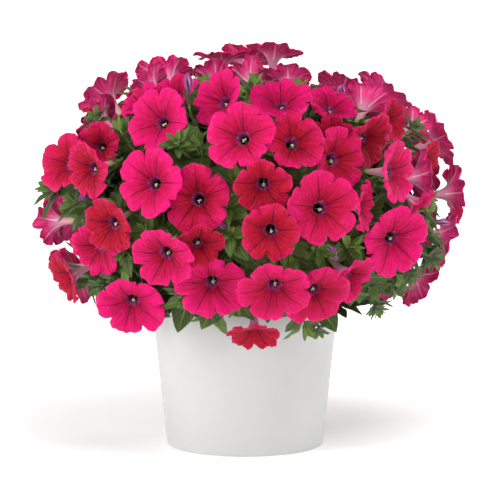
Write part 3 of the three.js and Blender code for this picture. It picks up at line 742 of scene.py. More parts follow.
# The underside is paler and downier, with a pale rib.
def leafUnderPaint(tree, look):
    across = splitUp(tree, surfaceMap(tree, "leafMap"))[0]
    patches = grain(tree, inSpace(tree), *look["patches"])
    rib = ranged(tree, maths(tree, "ABSOLUTE", across), look["rib"], soft=True)
    return {"Base Color": blend(tree, rib, tones(tree, patches, look["tones"]), leafLook["vein"]),
            "Normal": bump(tree, patches, *look["bump"])}


stemTones = {
    "green": [(0.3, "4b6f2c"), (0.7, "8fae57")],
    "brown": "6d5a38",
    "brownBelow": (0.19, 0.16),
    "down": (380.0, 4.0),
    "bump": (0.5, 0.0004),
    "surface": {"IOR": 1.42, "Specular IOR Level": 0.35, "Sheen Weight": 0.3, "Sheen Roughness": 0.4,
                "Roughness": 0.6},
}


# Young stems and stalks: green, downy, browner near the soil.
def stemPaint(tree, look):
    spots = inSpace(tree)
    down = grain(tree, spots, *look["down"])
    low = ranged(tree, splitUp(tree, spots)[2], look["brownBelow"])
    return {"Base Color": blend(tree, low, tones(tree, down, look["green"]), look["brown"]),
            "Normal": bump(tree, down, *look["bump"])}


# The leafage deep inside is in its own shade: dark, broken greens with no gloss.
innerLook = {
    "kind": "ShaderNodeTexVoronoi",
    "pattern": {"Scale": 85.0},
    "tones": [(0.0, "2f5220"), (0.6, "152610")],
    "bump": (1.0, 0.004, True),
    "surface": {"IOR": 1.4, "Roughness": 0.8, "Specular IOR Level": 0.15},
}

budTones = {
    "silk": [(0.32, "6a2450"), (0.52, "9c5290"), (0.7, "d8a8dc")],
    # painted shade in the hollows between the folds
    "fold": "3a1430",
    "tube": "7c4654",
    "tubeFade": (0.55, 0.25, 0.0, 0.75),
    "streaks": ((30, 2, 1), 4.0),
    "bump": (0.6, 0.0005),
    "surface": {"IOR": 1.4, "Specular IOR Level": 0.35, "Sheen Weight": 0.3, "Sheen Roughness": 0.4,
                "Roughness": 0.55},
}


# Furled buds are dusky purple silk, with painted shade darkening the hollows between the folds.
def budPaint(tree, look):
    place = surfaceMap(tree, "petalMap")
    streaks = grain(tree, place, *look["streaks"])
    low = ranged(tree, splitUp(tree, place)[1], look["tubeFade"], soft=True)
    colour = blend(tree, low, tones(tree, streaks, look["silk"]), look["tube"])
    return {"Base Color": blend(tree, valueOf(tree, "fold"), colour, look["fold"]),
            "Normal": bump(tree, streaks, *look["bump"])}


potTones = {
    "white": [(0.3, "c2c2c1"), (0.7, "c7c7c6")],
    "cloud": (14.0, 3.0),
    "skin": (900.0, 2.0),
    "bump": (0.12, 0.0002),
    "roughness": (0.0, 1.0, 0.4, 0.5),
    "surface": {"IOR": 1.49, "Specular IOR Level": 0.4},
}


# Injection-moulded polypropylene: white, satin, with a faint orange-peel skin.
def potPaint(tree, look):
    spots = inSpace(tree)
    cloud = grain(tree, spots, *look["cloud"])
    return {"Base Color": tones(tree, cloud, look["white"]),
            "Normal": bump(tree, grain(tree, spots, *look["skin"]), *look["bump"]),
            "Roughness": ranged(tree, cloud, look["roughness"])}


# Moist peaty compost: brown crumbs, with the gaps between them painted near black as shade.
compostLook = {
    "kind": "ShaderNodeTexVoronoi",
    "pattern": {"Scale": 380.0},
    # the near-black end is painted shade in the gaps between crumbs
    "tones": [(0.0, "4d3a29"), (0.5, "2b1e14"), (1.0, "120c08")],
    "bump": (0.9, 0.0012, True),
    "surface": {"IOR": 1.33, "Roughness": 0.9, "Specular IOR Level": 0.25},
}

petalFace = newMaterial("velvetyPetunia", petalLook, petalFacePaint)
petalBack = newMaterial("petuniaUnderside", petalBackLook, petalBackPaint)
anthers = newMaterial("dustyAnthers", antherLook, grainyPaint)
leafGreen = newMaterial("softStickyLeaf", leafLook, leafPaint)
leafUnder = newMaterial("paleLeafUnderside", leafUnderLook, leafUnderPaint)
stemGreen = newMaterial("downyGreenStem", stemTones, stemPaint)
innerGreen = newMaterial("shadedInnerLeafage", innerLook, grainyPaint)
budPurple = newMaterial("furledPurpleBud", budTones, budPaint)
potWhite = newMaterial("satinWhitePolypropylene", potTones, potPaint)
soilBrown = newMaterial("moistPeatyCompost", compostLook, grainyPaint)
print("materials made")

# Blooms. Each lobe takes the same share of the turn, and its vein lies in the middle of that share.
lobeCount = 5
lobeTurn = 360 / lobeCount
halfLobe = lobeTurn / 2
bloomShape = {
    "columns": 20,            # mesh columns in each lobe
    "petalThick": 0.45,
    "throat": 12,
    "throatRise": 0.45,
    "narrow": 30,             # a bloom of less than this radius has a narrower throat
    "narrowFrom": 3,
    "tube": 36,
    "tubeRings": [(1.5, -35.5), (1.9, -30), (2.4, -22), (3.0, -15), (3.7, -9.5), (4.7, -5.5), (6.0, -2.2),
                  (7.7, 0.4), (9.7, 2.6)],
    "limbRings": [0, 0.07, 0.14, 0.22, 0.31, 0.4, 0.49, 0.58, 0.67, 0.75, 0.82, 0.88, 0.93, 0.97, 1.0],
    "pleat": 0.05,            # five shallow pleats in the tube
    "pleatFrom": 2,
    "pleatTo": 9,
    "throatLow": -9,          # the part of the tube that moves with the throat's height
    "throatHigh": 4.5,
    "mapTube": 40,            # how much of the tube counts as one lobe's length in the marks
    "veinEnd": -0.2,
    "offVein": 2,             # further down the tube no vein shows
    "shareWithNext": 0.5,     # how far neighbouring lobes even out at their seam
    "sharePower": 4,
    "notchPower": 5,
    "notchCurl": 2.0,
    "notchSlit": 0.1,         # the narrow cleft between two lobes
    "slitPower": 24,
    "point": 1.5,             # a small point at the end of some veins
    "pointHalf": 5,
    "rimWaves": [(9, 0.5), (23, 0.3)],
    "lean": 1.2,              # each lobe leans to one side
    "limbRise": 1.8,
    "shoulderLift": 1.5,
    "shoulderAt": 20,
    "shoulderHalf": 9,
    "shoulderPower": 1.3,
    "rib": 0.9,               # how deep the vein lies
    "ribHalf": 1.7,
    "ribEnd": 1.25,
    "seam": 1.0,              # how deep the lobes' seam lies
    "seamHalf": 2.2,
    "seamEnd": 1.15,
    "groovePower": 0.6,
    "twist": 1.3,             # each lobe turns one side up, by this much at the most
    "twistFull": 2.6,
    "twistPower": 1.5,
    "ruffle": 1.1,            # how far the rim waves up and down
    "ruffleWaves": [(3, 0.5), (7, 0.6)],
    "frillWaves": [(13, 0.4), (29, 0.25)],
    "rufflePower": 3,
    "recurve": 1.6,           # how far the rim rolls back
    "recurvePower": 7,
    # broad and small unevenness, as in crepe paper: height, fineness round and outwards, place in the noise
    "crinkles": [(3.0, 3.2, 1.4, 0), (2.0, 7.5, 2.2, 9)],
    "crinklePower": 0.8,
    "crinkleStep": 7,
    "ownStep": 0.618,
    "ownSpread": 10,
    "mapGap": 3,
}
lobeDraws = {"length": 0.95, "lengthSway": 0.08, "tilt": 3.4, "notch": 0.11, "notchSway": 0.06}


def frontBloom(row, index):
    x, y, z, across, turn, raiseBy, roll, funnel = row
    return {"index": index, "at": Vector((x, y, z)), "face": facing(turn, raiseBy), "across": across,
            "roll": roll, "funnel": funnel}


def sprayBlooms(row, index):
    look = sprayLook
    bearing, height, spin, out = row
    middle = bearingPoint(bearing, height)
    right, top, _ = axesOf(outward(middle))
    sway = math.sin(math.radians(look["sway"]))
    blooms = []
    for k in range(look["count"]):
        number = len(frontBlooms) + look["count"] * index + k
        draw = drawer(seeds["sprays"] + number)
        angle = math.radians(spin + 360 / look["count"] * k)
        aside = right * (look["ring"] * math.cos(angle)) + top * (look["ring"] * math.sin(angle))
        spot = onBush(middle + aside)
        face = outward(spot)
        at = spot + face * (out + look["step"] * k)
        face = face + right * ((draw() - 0.5) * sway)
        face = (face + top * ((draw() - 0.5) * sway)).normalized()
        across = look["least"] + draw() * (look["most"] - look["least"])
        roll = draw() * lobeTurn
        funnel = look["funnelLeast"] + draw() * (look["funnelMost"] - look["funnelLeast"])
        blooms.append({"index": number, "at": at, "face": face, "across": across, "roll": roll,
                       "funnel": funnel})
    return blooms


def lobesOf(index):
    look = lobeDraws
    draw = drawer(seeds["lobes"] + index)
    return [{
        "length": look["length"] + look["lengthSway"] * draw(),
        "tilt": look["tilt"] * (draw() - 0.5),
        "notch": look["notch"] + look["notchSway"] * draw(),
    } for _ in range(lobeCount)]


def ripple(turn, phases, waves):
    return sum(size * math.sin(count * turn + phase) for phase, (count, size) in zip(phases, waves))


def limbPoint(bloom, lobes, looks, along, off, k):
    # radius and height on the limb, some way out along lobe k and some degrees off its vein
    shape = bloomShape
    phases = looks["phases"]
    this = k % lobeCount
    own = lobes[this]
    near = lobes[(k + 1) % lobeCount] if off > 0 else lobes[(k - 1) % lobeCount]
    notch = (own if off > 0 else near)["notch"]
    edge = abs(off) / halfLobe
    turn = math.radians(lobeTurn * k + off)
    share = shape["shareWithNext"] * edge ** shape["sharePower"]
    length = own["length"] * (1 - share) + near["length"] * share
    tilt = own["tilt"] * (1 - share) + near["tilt"] * share
    rim = bloom["across"] / 2 * length
    rim *= 1 - notch * edge ** shape["notchPower"] - shape["notchSlit"] * edge ** shape["slitPower"]
    rim += looks["points"][this] * math.exp(-(off / shape["pointHalf"]) ** 2)
    rim += ripple(turn, phases[:2], shape["rimWaves"])
    rim += looks["leans"][this] * math.sin(math.radians(lobeCount * off)) * (1 - edge)
    start = shape["throat"] * looks["narrow"]
    r = start + (rim - start) * along
    rise = 1 - (1 - along) ** shape["limbRise"]
    z = looks["throatHeight"] + (bloom["funnel"] + tilt - looks["throatHeight"]) * rise
    z -= shape["notchCurl"] * edge ** shape["notchPower"] * along ** 2
    shoulder = math.exp(-((abs(off) - shape["shoulderAt"]) / shape["shoulderHalf"]) ** 2)
    z += shape["shoulderLift"] * shoulder * along ** shape["shoulderPower"] * looks["lifts"][this]
    twist = shape["twist"] * looks["twists"][this] * (off / halfLobe) * (1 - edge ** 2)
    z += twist * shape["twistFull"] * along ** shape["twistPower"]
    wave = ripple(turn, phases[2:4], shape["ruffleWaves"])
    wave += ripple(turn, phases[4:], shape["frillWaves"])
    z += shape["ruffle"] * wave * along ** shape["rufflePower"]
    z -= shape["recurve"] * along ** shape["recurvePower"]
    around = Vector((math.cos(turn), math.sin(turn), 0))
    for height, fineRound, fineOut, place in shape["crinkles"]:
        spot = Vector((place, 0, fineOut * along + shape["crinkleStep"] * bloom["index"]))
        z += height * along ** shape["crinklePower"] * noise.noise(around * fineRound + spot)
    side = math.radians(abs(off)) * r
    seam = math.radians(halfLobe - abs(off)) * r
    fade = along ** shape["groovePower"]
    z -= shape["rib"] * math.exp(-(side / shape["ribHalf"]) ** 2) * fade * (shape["ribEnd"] - along)
    z -= shape["seam"] * math.exp(-(seam / shape["seamHalf"]) ** 2) * fade * (shape["seamEnd"] - along)
    return r, z


def trumpetParts(parts, bloom, redness):
    # one bloom's sheet, from the foot of its tube up through the throat and out to the rim
    shape = bloomShape
    draw = drawer(seeds["trumpets"] + bloom["index"])
    narrow = min(1, bloom["across"] / 2 / shape["narrow"])
    throatHeight = shape["throatRise"] * bloom["funnel"]
    looks = {
        "phases": [draw() * 2 * math.pi for _ in range(6)],
        "points": [shape["point"] * draw() * draw() for _ in range(lobeCount)],
        "lifts": [0.5 + draw() for _ in range(lobeCount)],
        "twists": [2 * draw() - 1 for _ in range(lobeCount)],
        "leans": [2 * shape["lean"] * draw() - shape["lean"] for _ in range(lobeCount)],
        "narrow": narrow,
        "throatHeight": throatHeight,
    }
    lobes = lobesOf(bloom["index"])
    right, top, face = axesOf(bloom["face"])
    columns = lobeCount * shape["columns"]
    tubeCount = len(shape["tubeRings"])
    rings = tubeCount + len(shape["limbRings"])
    points = []
    fromVein = []
    lobeEdge = []
    alongs = []
    for ring in range(rings):
        for c in range(columns):
            angle = 360 * c / columns
            k = math.floor(angle / lobeTurn + 0.5)
            off = angle - lobeTurn * k
            if ring < tubeCount:
                r, z = shape["tubeRings"][ring]
                pleat = shape["pleat"] * math.cos(math.radians(lobeCount * off))
                pleat *= smooth(shape["pleatFrom"], shape["pleatTo"], r)
                r = r * (narrow if r > shape["narrowFrom"] else 1) * (1 - pleat)
                lift = smooth(shape["throatLow"], shape["throatHigh"], z)
                z = z + (throatHeight - shape["throatHigh"]) * lift
                along = (z - throatHeight) / shape["mapTube"]
            else:
                along = shape["limbRings"][ring - tubeCount]
                r, z = limbPoint(bloom, lobes, looks, along, off, k)
            a = math.radians(angle + bloom["roll"])
            points.append(bloom["at"] + right * (-math.sin(a) * r) + top * (math.cos(a) * r) + face * z)
            fromVein.append(math.radians(abs(off)) * r if along > shape["veinEnd"] else shape["offVein"])
            lobeEdge.append(abs(off) / halfLobe)
            alongs.append(along)
    faces = gridFaces(rings, columns, closed=True)
    maps = []
    for quad in faces:
        c = quad[0] % columns
        middle = 360 * (c + 0.5) / columns
        k = math.floor(middle / lobeTurn + 0.5)
        corners = []
        for (step, _), i in zip(quadCorners, quad):
            off = 360 * (c + step) / columns - lobeTurn * k
            corners.append((shape["mapGap"] * k + off / halfLobe, alongs[i]))
        maps.append(corners)
    # turned over, so that the upper face looks out of the trumpet
    parts.add(points, turnedOver(faces), turnedOver(maps), fromVein=fromVein, lobeEdge=lobeEdge,
              redness=redness, own=(bloom["index"] * shape["ownStep"]) % 1 * shape["ownSpread"])


def ballParts(parts, middle, along, long, wide, slot):
    # a small seed-like ball
    sides = 6
    rings = 3
    side, top, way = axesOf(along)
    points = [middle - way * long]
    for k in range(1, rings + 1):
        angle = math.pi * k / (rings + 1)
        hub = middle - way * (long * math.cos(angle))
        for i in range(sides):
            points.append(circlePoint(hub, side, top, wide * math.sin(angle), 2 * math.pi * i / sides))
    points.append(middle + way * long)
    last = rings * sides + 1
    high = last - sides
    faces = [[0, 1 + (i + 1) % sides, 1 + i] for i in range(sides)]
    faces += [[1 + c for c in face] for face in gridFaces(rings, sides, closed=True)]
    faces += [[last, high + i, high + (i + 1) % sides] for i in range(sides)]
    parts.add(points, faces, None, slot)


stamenLook = {"count": 6, "foot": 26, "turnSway": 40, "spread": 0.7, "spreadSway": 1.1, "stigmaSpread": 0.2,
              "height": -3.6, "heightSway": 2, "stigmaRise": 1, "right": 0.9, "low": 1.4,
              "thread": 0.25, "long": 0.75, "wide": 0.6}


def stamenParts(parts, bloom, threadSlot, antherSlot):
    # five stamens and a stigma stand in the throat, a little to its lower side
    look = stamenLook
    draw = drawer(seeds["stamens"] + bloom["index"])
    right, top, face = axesOf(bloom["face"])
    foot = bloom["at"] - face * look["foot"]
    for k in range(look["count"]):
        stigma = k == look["count"] - 1
        angle = math.radians(360 / look["count"] * k + look["turnSway"] * draw())
        spread = look["stigmaSpread"] if stigma else look["spread"] + look["spreadSway"] * draw()
        lift = look["height"] + look["heightSway"] * draw() + (look["stigmaRise"] if stigma else 0)
        tip = bloom["at"] + right * (spread * math.cos(angle) + look["right"]) + face * lift
        tip += top * (spread * math.sin(angle) - look["low"])
        route = bend(foot, face, tip, face, steps=4)
        tubeParts(parts, route, [look["thread"]] * len(route), sides=5, slot=threadSlot)
        way = (face + right * (draw() - 0.5)).normalized()
        ballParts(parts, tip, way, look["long"], look["wide"], antherSlot)


sepalLook = {"length": 15, "lengthLeast": 0.85, "lengthSway": 0.3, "wide": 3.4, "spread": 14,
             "spreadLeast": 0.7, "spreadSway": 0.9, "turnSway": 10, "sunk": 0.5, "away": 1.2, "tone": 0.62}


def sepalParts(parts, bloom):
    # five narrow green sepals clasp the foot of the tube
    look = sepalLook
    draw = drawer(seeds["sepals"] + bloom["index"])
    right, top, face = axesOf(bloom["face"])
    foot = bloom["at"] - face * (bloomShape["tube"] - look["sunk"])
    for k in range(lobeCount):
        angle = math.radians(lobeTurn * k + bloom["roll"] + halfLobe + look["turnSway"] * (draw() - 0.5))
        away = right * -math.sin(angle) + top * math.cos(angle)
        spread = math.radians(look["spread"] * (look["spreadLeast"] + look["spreadSway"] * draw()))
        along = between(face, away, spread).normalized()
        sky = (away * math.cos(spread) - face * math.sin(spread)).normalized()
        length = look["length"] * (look["lengthLeast"] + look["lengthSway"] * draw())
        wide = look["wide"] / length
        bladeParts(parts, foot + away * look["away"], along, sky, length, wide, look["tone"], draw)


# Leaves: an ovate blade, folded a little along its rib, its edge gently waved.
leafShape = {
    "thick": 0.4, "rows": 9, "columns": 6,
    "fold": 0.28,
    "curl": 0.35,             # the edges turn up again
    "droop": 0.2,
    "wave": 0.035,
    "waves": 11,
    "otherSide": 1.3,         # the waves of the two edges differ
    "phases": 6,
    "sideways": 0.06,
    "broadest": 0.72,         # below 1, the broadest part lies nearer the foot
    "round": 0.8,
    "footFrom": -0.03,
    "footTo": 0.14,
    "footHalf": 0.05,
    "tipHalf": 0.02,
}


def leafSheet(foot, along, sky, length, wide, draw, rows=leafShape["rows"], droop=leafShape["droop"]):
    look = leafShape
    columns = look["columns"] + 1
    side = sky.cross(along).normalized()
    top = along.cross(side)
    half = length * wide / 2
    phase = draw() * look["phases"]
    turn = look["sideways"] * (draw() - 0.5)
    points = []
    for k in range(rows + 1):
        t = k / rows
        width = math.sin(math.pi * min(1, t ** look["broadest"])) ** look["round"] if 0 < t < 1 else 0
        width *= smooth(look["footFrom"], look["footTo"], t)
        width = max(width, look["footHalf"] * (1 - t) + look["tipHalf"])
        for c in range(columns):
            s = 2 * c / look["columns"] - 1
            crease = half * look["fold"] * width
            lift = -crease * (1 - abs(s)) + crease * look["curl"] * s * s
            ripples = math.sin(look["waves"] * t + phase + (look["otherSide"] if s > 0 else 0))
            lift += look["wave"] * length * ripples * abs(s) ** 2 * width
            lift -= length * droop * t * t
            spot = foot + along * (length * t) + side * (half * width * s + length * turn * t * t)
            points.append(spot + top * lift)
    faces = gridFaces(rows + 1, columns)
    maps = [[(2 * (i % columns) / look["columns"] - 1, i // columns / rows) for i in face] for face in faces]
    return points, turnedOver(faces), turnedOver(maps)


bladeLook = {"rows": 6, "droop": -0.12, "thick": 0.5}


def bladeParts(parts, foot, along, sky, length, wide, tone, draw):
    # a small leaf or sepal with a face on both sides and round its edge
    look = bladeLook
    rows = look["rows"]
    points, faces, maps = leafSheet(foot, along, sky, length, wide, draw, rows, look["droop"])
    count = len(points)
    columns = leafShape["columns"] + 1
    under = [p - sky * look["thick"] for p in points]
    low = [[count + i for i in face] for face in turnedOver(faces)]
    rim = list(range(columns)) + [columns * r + columns - 1 for r in range(1, rows + 1)]
    rim += [columns * rows + c for c in range(columns - 2, -1, -1)]
    rim += [columns * r for r in range(rows - 1, 0, -1)]
    sides = [[i, count + i, count + j, j] for i, j in zip(rim, rim[1:] + rim[:1])]
    sideMaps = [[(1.0, 0.5)] * 4] * len(sides)
    parts.add(points + under, faces + low + sides, maps + turnedOver(maps) + sideMaps, 0, tone=tone)


print("making the blooms")
blooms = [frontBloom(row, i) for i, row in enumerate(frontBlooms)]
for i, row in enumerate(sprays):
    blooms.extend(sprayBlooms(row, i))
bloomNodes = {}
for name in sorted(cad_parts):
    if name.startswith("bloom"):
        bloomNodes[name] = [int(number) - 1 for number in name.split("_")[1:]]

# Stalks: one to a bloom, or forked under a spray. They run from the calyx into the heart.
stalkLook = {"radius": 1.2, "topRadius": 1.7, "topSunk": 1.5, "fork": 12, "forkStep": 0.36,
             "forkStart": -0.06, "neck": 8, "seat": 0.6, "foot": 4, "tone": 0.6}
plainRed = 0.26                           # how red a bloom without its own number can be
petalSheets = MeshParts()                 # all petals once more, to keep leaves out of them
for name, members in bloomNodes.items():
    petals = MeshParts()
    green = MeshParts()
    necks = [blooms[i]["at"] - blooms[i]["face"] * bloomShape["tube"] for i in members]
    mean = sum(necks, Vector((0, 0, 0))) / len(necks)
    fork = onHeart(mean, stalkLook["fork"])
    foot = onHeart(mean, -stalkLook["foot"])
    seat = onHeart(mean, stalkLook["seat"])
    inward = (foot - fork).normalized()
    for place, i in enumerate(members):
        bloom = blooms[i]
        # a listed bloom's crimson is partly painted shade; the others get a small random redness
        redness = redAndShadedBlooms.get(i + 1)
        if redness is None:
            redness = plainRed * drawer(seeds["redness"] + i)()
        trumpetParts(petals, bloom, redness)
        stamenParts(green, bloom, 1, 2)
        sepalParts(green, bloom)
        start = necks[place] + bloom["face"] * stalkLook["topSunk"]
        if len(members) == 1:
            route = bend(start, -bloom["face"], foot, inward)
        elif place == 0:
            route = bend(start, -bloom["face"], fork, inward, steps=6)
            route += bend(fork, inward, foot, inward, steps=3)[1:]
        else:
            branch = fork.lerp(seat, stalkLook["forkStep"] * place + stalkLook["forkStart"])
            route = bend(start, -bloom["face"], branch, inward, steps=6)
        radii = [stalkLook["topRadius"]] + [stalkLook["radius"]] * (len(route) - 1)
        tubeParts(green, route, radii, slot=1, tone=stalkLook["tone"])
    petalSheets.add(petals.points, petals.faces)
    thick = bloomShape["petalThick"]
    petalPiece = petals.make(name + "_petals", [petalFace, petalBack], "petalMap", thick, 1)
    greenPiece = green.make(name + "_calyx", [leafGreen, stemGreen, anthers], "leafMap")
    for piece in (petalPiece, greenPiece):
        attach(piece, "root")
        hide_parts(name)

# Leafy growth: shoots in whorls, leaves on the heart, and the shaded core behind them.
shootLook = {
    "count": 3,               # leaves in each whorl
    "length": 62, "radius": 1.8, "thinner": 0.08, "backSize": 1.05, "backSunk": 8,
    "rise": 0.3, "hang": -0.25, "hangBelow": 200, "away": 1.2,
    "leastLeaf": 0.9, "leafSway": 0.2, "spreadSway": 14, "tone": 0.22, "toneStep": 0.22, "toneSway": 0.25,
    "whorls": [
        {"below": 27, "hub": 2.6, "long": 45, "wide": 0.6, "spread": 74},
        {"below": 6, "hub": 2, "long": 25, "wide": 0.52, "spread": 50},
    ],
    "extraLeast": 0.8, "extraSway": 0.3, "extraTurn": 30, "extraSpreadSway": 20,
    "extraTone": 0.3, "extraToneSway": 0.25, "extraToneStep": 0.12,
    "extra": [
        {"below": 17, "long": 34, "wide": 0.58, "spread": 62},
        {"below": 42, "long": 46, "wide": 0.6, "spread": 70},
    ],
    "tip": {"below": 1.5, "long": 11, "least": 0.8, "sway": 0.5, "wide": 0.4, "spread": 24, "tone": 0.75},
}
dodgeLook = {"turns": (24, -48, 64, -20, 0), "shorter": 0.86}
petalTree = BVHTree.FromPolygons(petalSheets.points, petalSheets.faces)
leaves = MeshParts()
shootStems = MeshParts()


def clearOfPetals(points, faces):
    return not BVHTree.FromPolygons(points, faces).overlap(petalTree)


def tryLeaf(foot, along, sky, length, wide, tone, draw):
    # a leaf turns and shortens to keep out of the petals, and stays away if it can't
    for turnBy in dodgeLook["turns"]:
        points, faces, maps = leafSheet(foot, along, sky, length, wide, draw)
        if clearOfPetals(points, faces):
            leaves.add(points, faces, maps, 0, tone=tone)
            return
        along = Quaternion(sky, math.radians(turnBy)) @ along
        length *= dodgeLook["shorter"]


def shootAxis(tip):
    turn = shootLook["rise"] if tip.z > shootLook["hangBelow"] else shootLook["hang"]
    return (outward(tip) + Vector((0, 0, turn))).normalized()


def growShoot(tip, size, seed):
    look = shootLook
    step = 360 / look["count"]
    draw = drawer(seeds["shoots"] + seed)
    ownDraw = drawer(seeds["shootLeaves"] + seed)
    axis = shootAxis(tip)
    right, top, _ = axesOf(axis)
    spin = draw() * step
    curve = bend(tip - axis * look["length"], axis, tip, axis, steps=6)
    tubeParts(shootStems, curve, [look["radius"] * (1 - look["thinner"] * k) for k in range(len(curve))])

    def grow(below, around, spreadBy, length, wide, tone):
        away = between(right, top, around)
        along = between(axis, away, math.radians(spreadBy))
        foot = tip - axis * below
        tryLeaf(foot + away * look["away"], along, axis, length, wide, tone, ownDraw)

    for w, whorl in enumerate(look["whorls"]):
        for i in range(look["count"]):
            around = math.radians(spin + step / 2 * w + step * i + step / 2)
            spreadBy = whorl["spread"] + look["spreadSway"] * (draw() - 0.5)
            length = size * whorl["long"] * (look["leastLeaf"] + look["leafSway"] * draw())
            tone = look["tone"] + look["toneStep"] * w + look["toneSway"] * ownDraw()
            grow(size * whorl["below"] + whorl["hub"] / 2, around, spreadBy, length, whorl["wide"], tone)
    for w, whorl in enumerate(look["extra"]):
        for i in range(look["count"]):
            around = spin + step / 4 + step / 2 * w + step * i + look["extraTurn"] * ownDraw()
            around = math.radians(around)
            spreadBy = whorl["spread"] + look["extraSpreadSway"] * (ownDraw() - 0.5)
            length = size * whorl["long"] * (look["extraLeast"] + look["extraSway"] * ownDraw())
            tone = look["extraTone"] + look["extraToneSway"] * ownDraw() - look["extraToneStep"] * w
            grow(size * whorl["below"], around, spreadBy, length, whorl["wide"], tone)
    tiny = look["tip"]
    for i in range(look["count"]):
        around = math.radians(step * i + 360 * ownDraw())
        length = size * tiny["long"] * (tiny["least"] + tiny["sway"] * ownDraw())
        grow(tiny["below"], around, tiny["spread"], length, tiny["wide"], tiny["tone"])


print("growing the shoots")
for seed, (x, y, z, size) in enumerate(frontShoots):
    growShoot(Vector((x, y, z)), size, seed)
for seed, (bearing, height) in enumerate(backShoots):
    spot = bearingPoint(bearing, height)
    growShoot(spot - outward(spot) * shootLook["backSunk"], shootLook["backSize"], len(frontShoots) + seed)

print("leafing the heart")
# leaves on the heart get a low tone: darker green as painted shade deep in the bush
coverLook = {"count": 560, "tries": 6, "apart": 13, "least": 32, "most": 54, "wide": 0.62, "lowest": 40,
             "highest": 78, "upwards": (0.1, 0.8),
             "underside": -0.97, "sunk": 2, "tone": 0.08, "toneSway": 0.25}
chance = random.Random(seeds["cover"])
taken = []
for _ in range(coverLook["count"] * coverLook["tries"]):
    way = Vector((chance.gauss(0, 1), chance.gauss(0, 1), chance.gauss(*coverLook["upwards"])))
    way = way.normalized()
    spot, normal, _, _ = heartTree.ray_cast(middlePoint, way)
    if spot is None or normal.z < coverLook["underside"] or len(taken) >= coverLook["count"]:
        continue
    if any((spot - other).length < coverLook["apart"] for other in taken):
        continue
    taken.append(spot)
    spread = math.radians(chance.uniform(coverLook["lowest"], coverLook["highest"]))
    side, top, _ = axesOf(normal)
    across = between(side, top, chance.uniform(0, 2 * math.pi))
    along = between(normal, across, spread)
    sky = (normal * math.sin(spread) - across * math.cos(spread)).normalized()
    draw = drawer(seeds["coverLeaves"] + len(taken))
    length = chance.uniform(coverLook["least"], coverLook["most"])
    tone = coverLook["tone"] + coverLook["toneSway"] * chance.random()
    tryLeaf(spot - normal * coverLook["sunk"], along, sky, length, coverLook["wide"], tone, draw)

# short leaves hang from the heart's lower edge, with a low tone: darker green as painted shade under the
# bush
hemLook = {"count": 60, "radius": 132, "inner": -8, "outer": 2, "height": 160, "least": 14, "most": 30,
           "wide": 0.6, "gaps": 0.3, "sway": 0.9, "drop": 6, "rise": 16, "steepest": -0.9,
           "flattest": -0.1, "aslant": 0.5, "tone": 0.1, "toneSway": 0.3}
for k in range(hemLook["count"]):
    if chance.random() < hemLook["gaps"]:
        continue
    angle = 2 * math.pi * (k + chance.uniform(-1, 1) * hemLook["sway"]) / hemLook["count"]
    away = ringPoint(1, angle, 0)
    footHeight = hemLook["height"] + chance.uniform(-hemLook["drop"], hemLook["rise"])
    footRadius = hemLook["radius"] + chance.uniform(hemLook["inner"], hemLook["outer"])
    foot = away * footRadius + Vector((0, 0, footHeight))
    down = chance.uniform(hemLook["steepest"], hemLook["flattest"])
    aslant = away.cross(skyward) * chance.uniform(-hemLook["aslant"], hemLook["aslant"])
    along = (away + Vector((0, 0, down)) + aslant).normalized()
    sky = (skyward - away * down).normalized()
    length = chance.uniform(hemLook["least"], hemLook["most"])
    tone = hemLook["tone"] + hemLook["toneSway"] * chance.random()
    draw = drawer(seeds["hem"] + k)
    tryLeaf(foot, along, sky, length, hemLook["wide"], tone, draw)

tuftLook = {"leaves": 13, "wide": 0.4, "wideSway": 0.12, "outer": 78, "inner": 16, "spreadSway": 14,
            "turn": 137.5, "turnSway": 20, "stem": 1.3, "stemSunk": 3, "stemPast": 5, "gap": 0.55,
            "shorter": 0.55, "least": 0.85, "sway": 0.3, "tone": 0.15, "toneRise": 0.5,
            "clear": 7, "step": 4, "deepest": 60}


def tuftStalk(middle, parts):
    low = onHeart(middle, -tuftLook["stemSunk"])
    axis = shootAxis(middle)
    route = bend(low, (middle - low).normalized(), middle + axis * tuftLook["stemPast"], axis, steps=6)
    tubeParts(parts, route, [tuftLook["stem"]] * len(route), sides=6)
    return parts


def tuftSpot(bearing, height):
    # from the bush's outline inwards, to the first place where tuft and stalk stand clear of the petals
    look = tuftLook
    outer = bearingPoint(bearing, height)
    for k in range(look["deepest"] // look["step"]):
        spot = outer - outward(outer) * (look["step"] * k)
        if petalTree.find_nearest(spot)[3] < look["clear"]:
            continue
        stalk = tuftStalk(spot, MeshParts())
        if clearOfPetals(stalk.points, stalk.faces):
            return spot
    return None


def growTuft(bearing, height, longest, seed):
    # narrow leaves round a shoot's tip, each one steeper and shorter than the last
    look = tuftLook
    middle = tuftSpot(bearing, height)
    if middle is None:
        return False
    draw = drawer(seeds["tufts"] + seed)
    axis = shootAxis(middle)
    right, top, _ = axesOf(axis)
    for k in range(look["leaves"]):
        share = k / (look["leaves"] - 1)
        away = between(right, top, math.radians(look["turn"] * k + look["turnSway"] * draw()))
        spreadBy = look["outer"] + (look["inner"] - look["outer"]) * share
        spread = math.radians(spreadBy + look["spreadSway"] * (draw() - 0.5))
        along = between(axis, away, spread)
        sky = (axis * math.sin(spread) - away * math.cos(spread)).normalized()
        foot = middle + axis * (look["gap"] * k) + away
        length = longest * (1 - look["shorter"] * share) * (look["least"] + look["sway"] * draw())
        wide = look["wide"] + look["wideSway"] * draw()
        tryLeaf(foot, along, sky, length, wide, look["tone"] + look["toneRise"] * share, draw)
    tuftStalk(middle, shootStems)
    return True


grown = [growTuft(bearing, height, longest, seed) for seed, (bearing, height, longest) in enumerate(tufts)]
print("tufts grown:", sum(grown), "of", len(tufts))

leafPiece = leaves.make("leaves", [leafGreen, leafUnder], "leafMap", leafShape["thick"], 1)

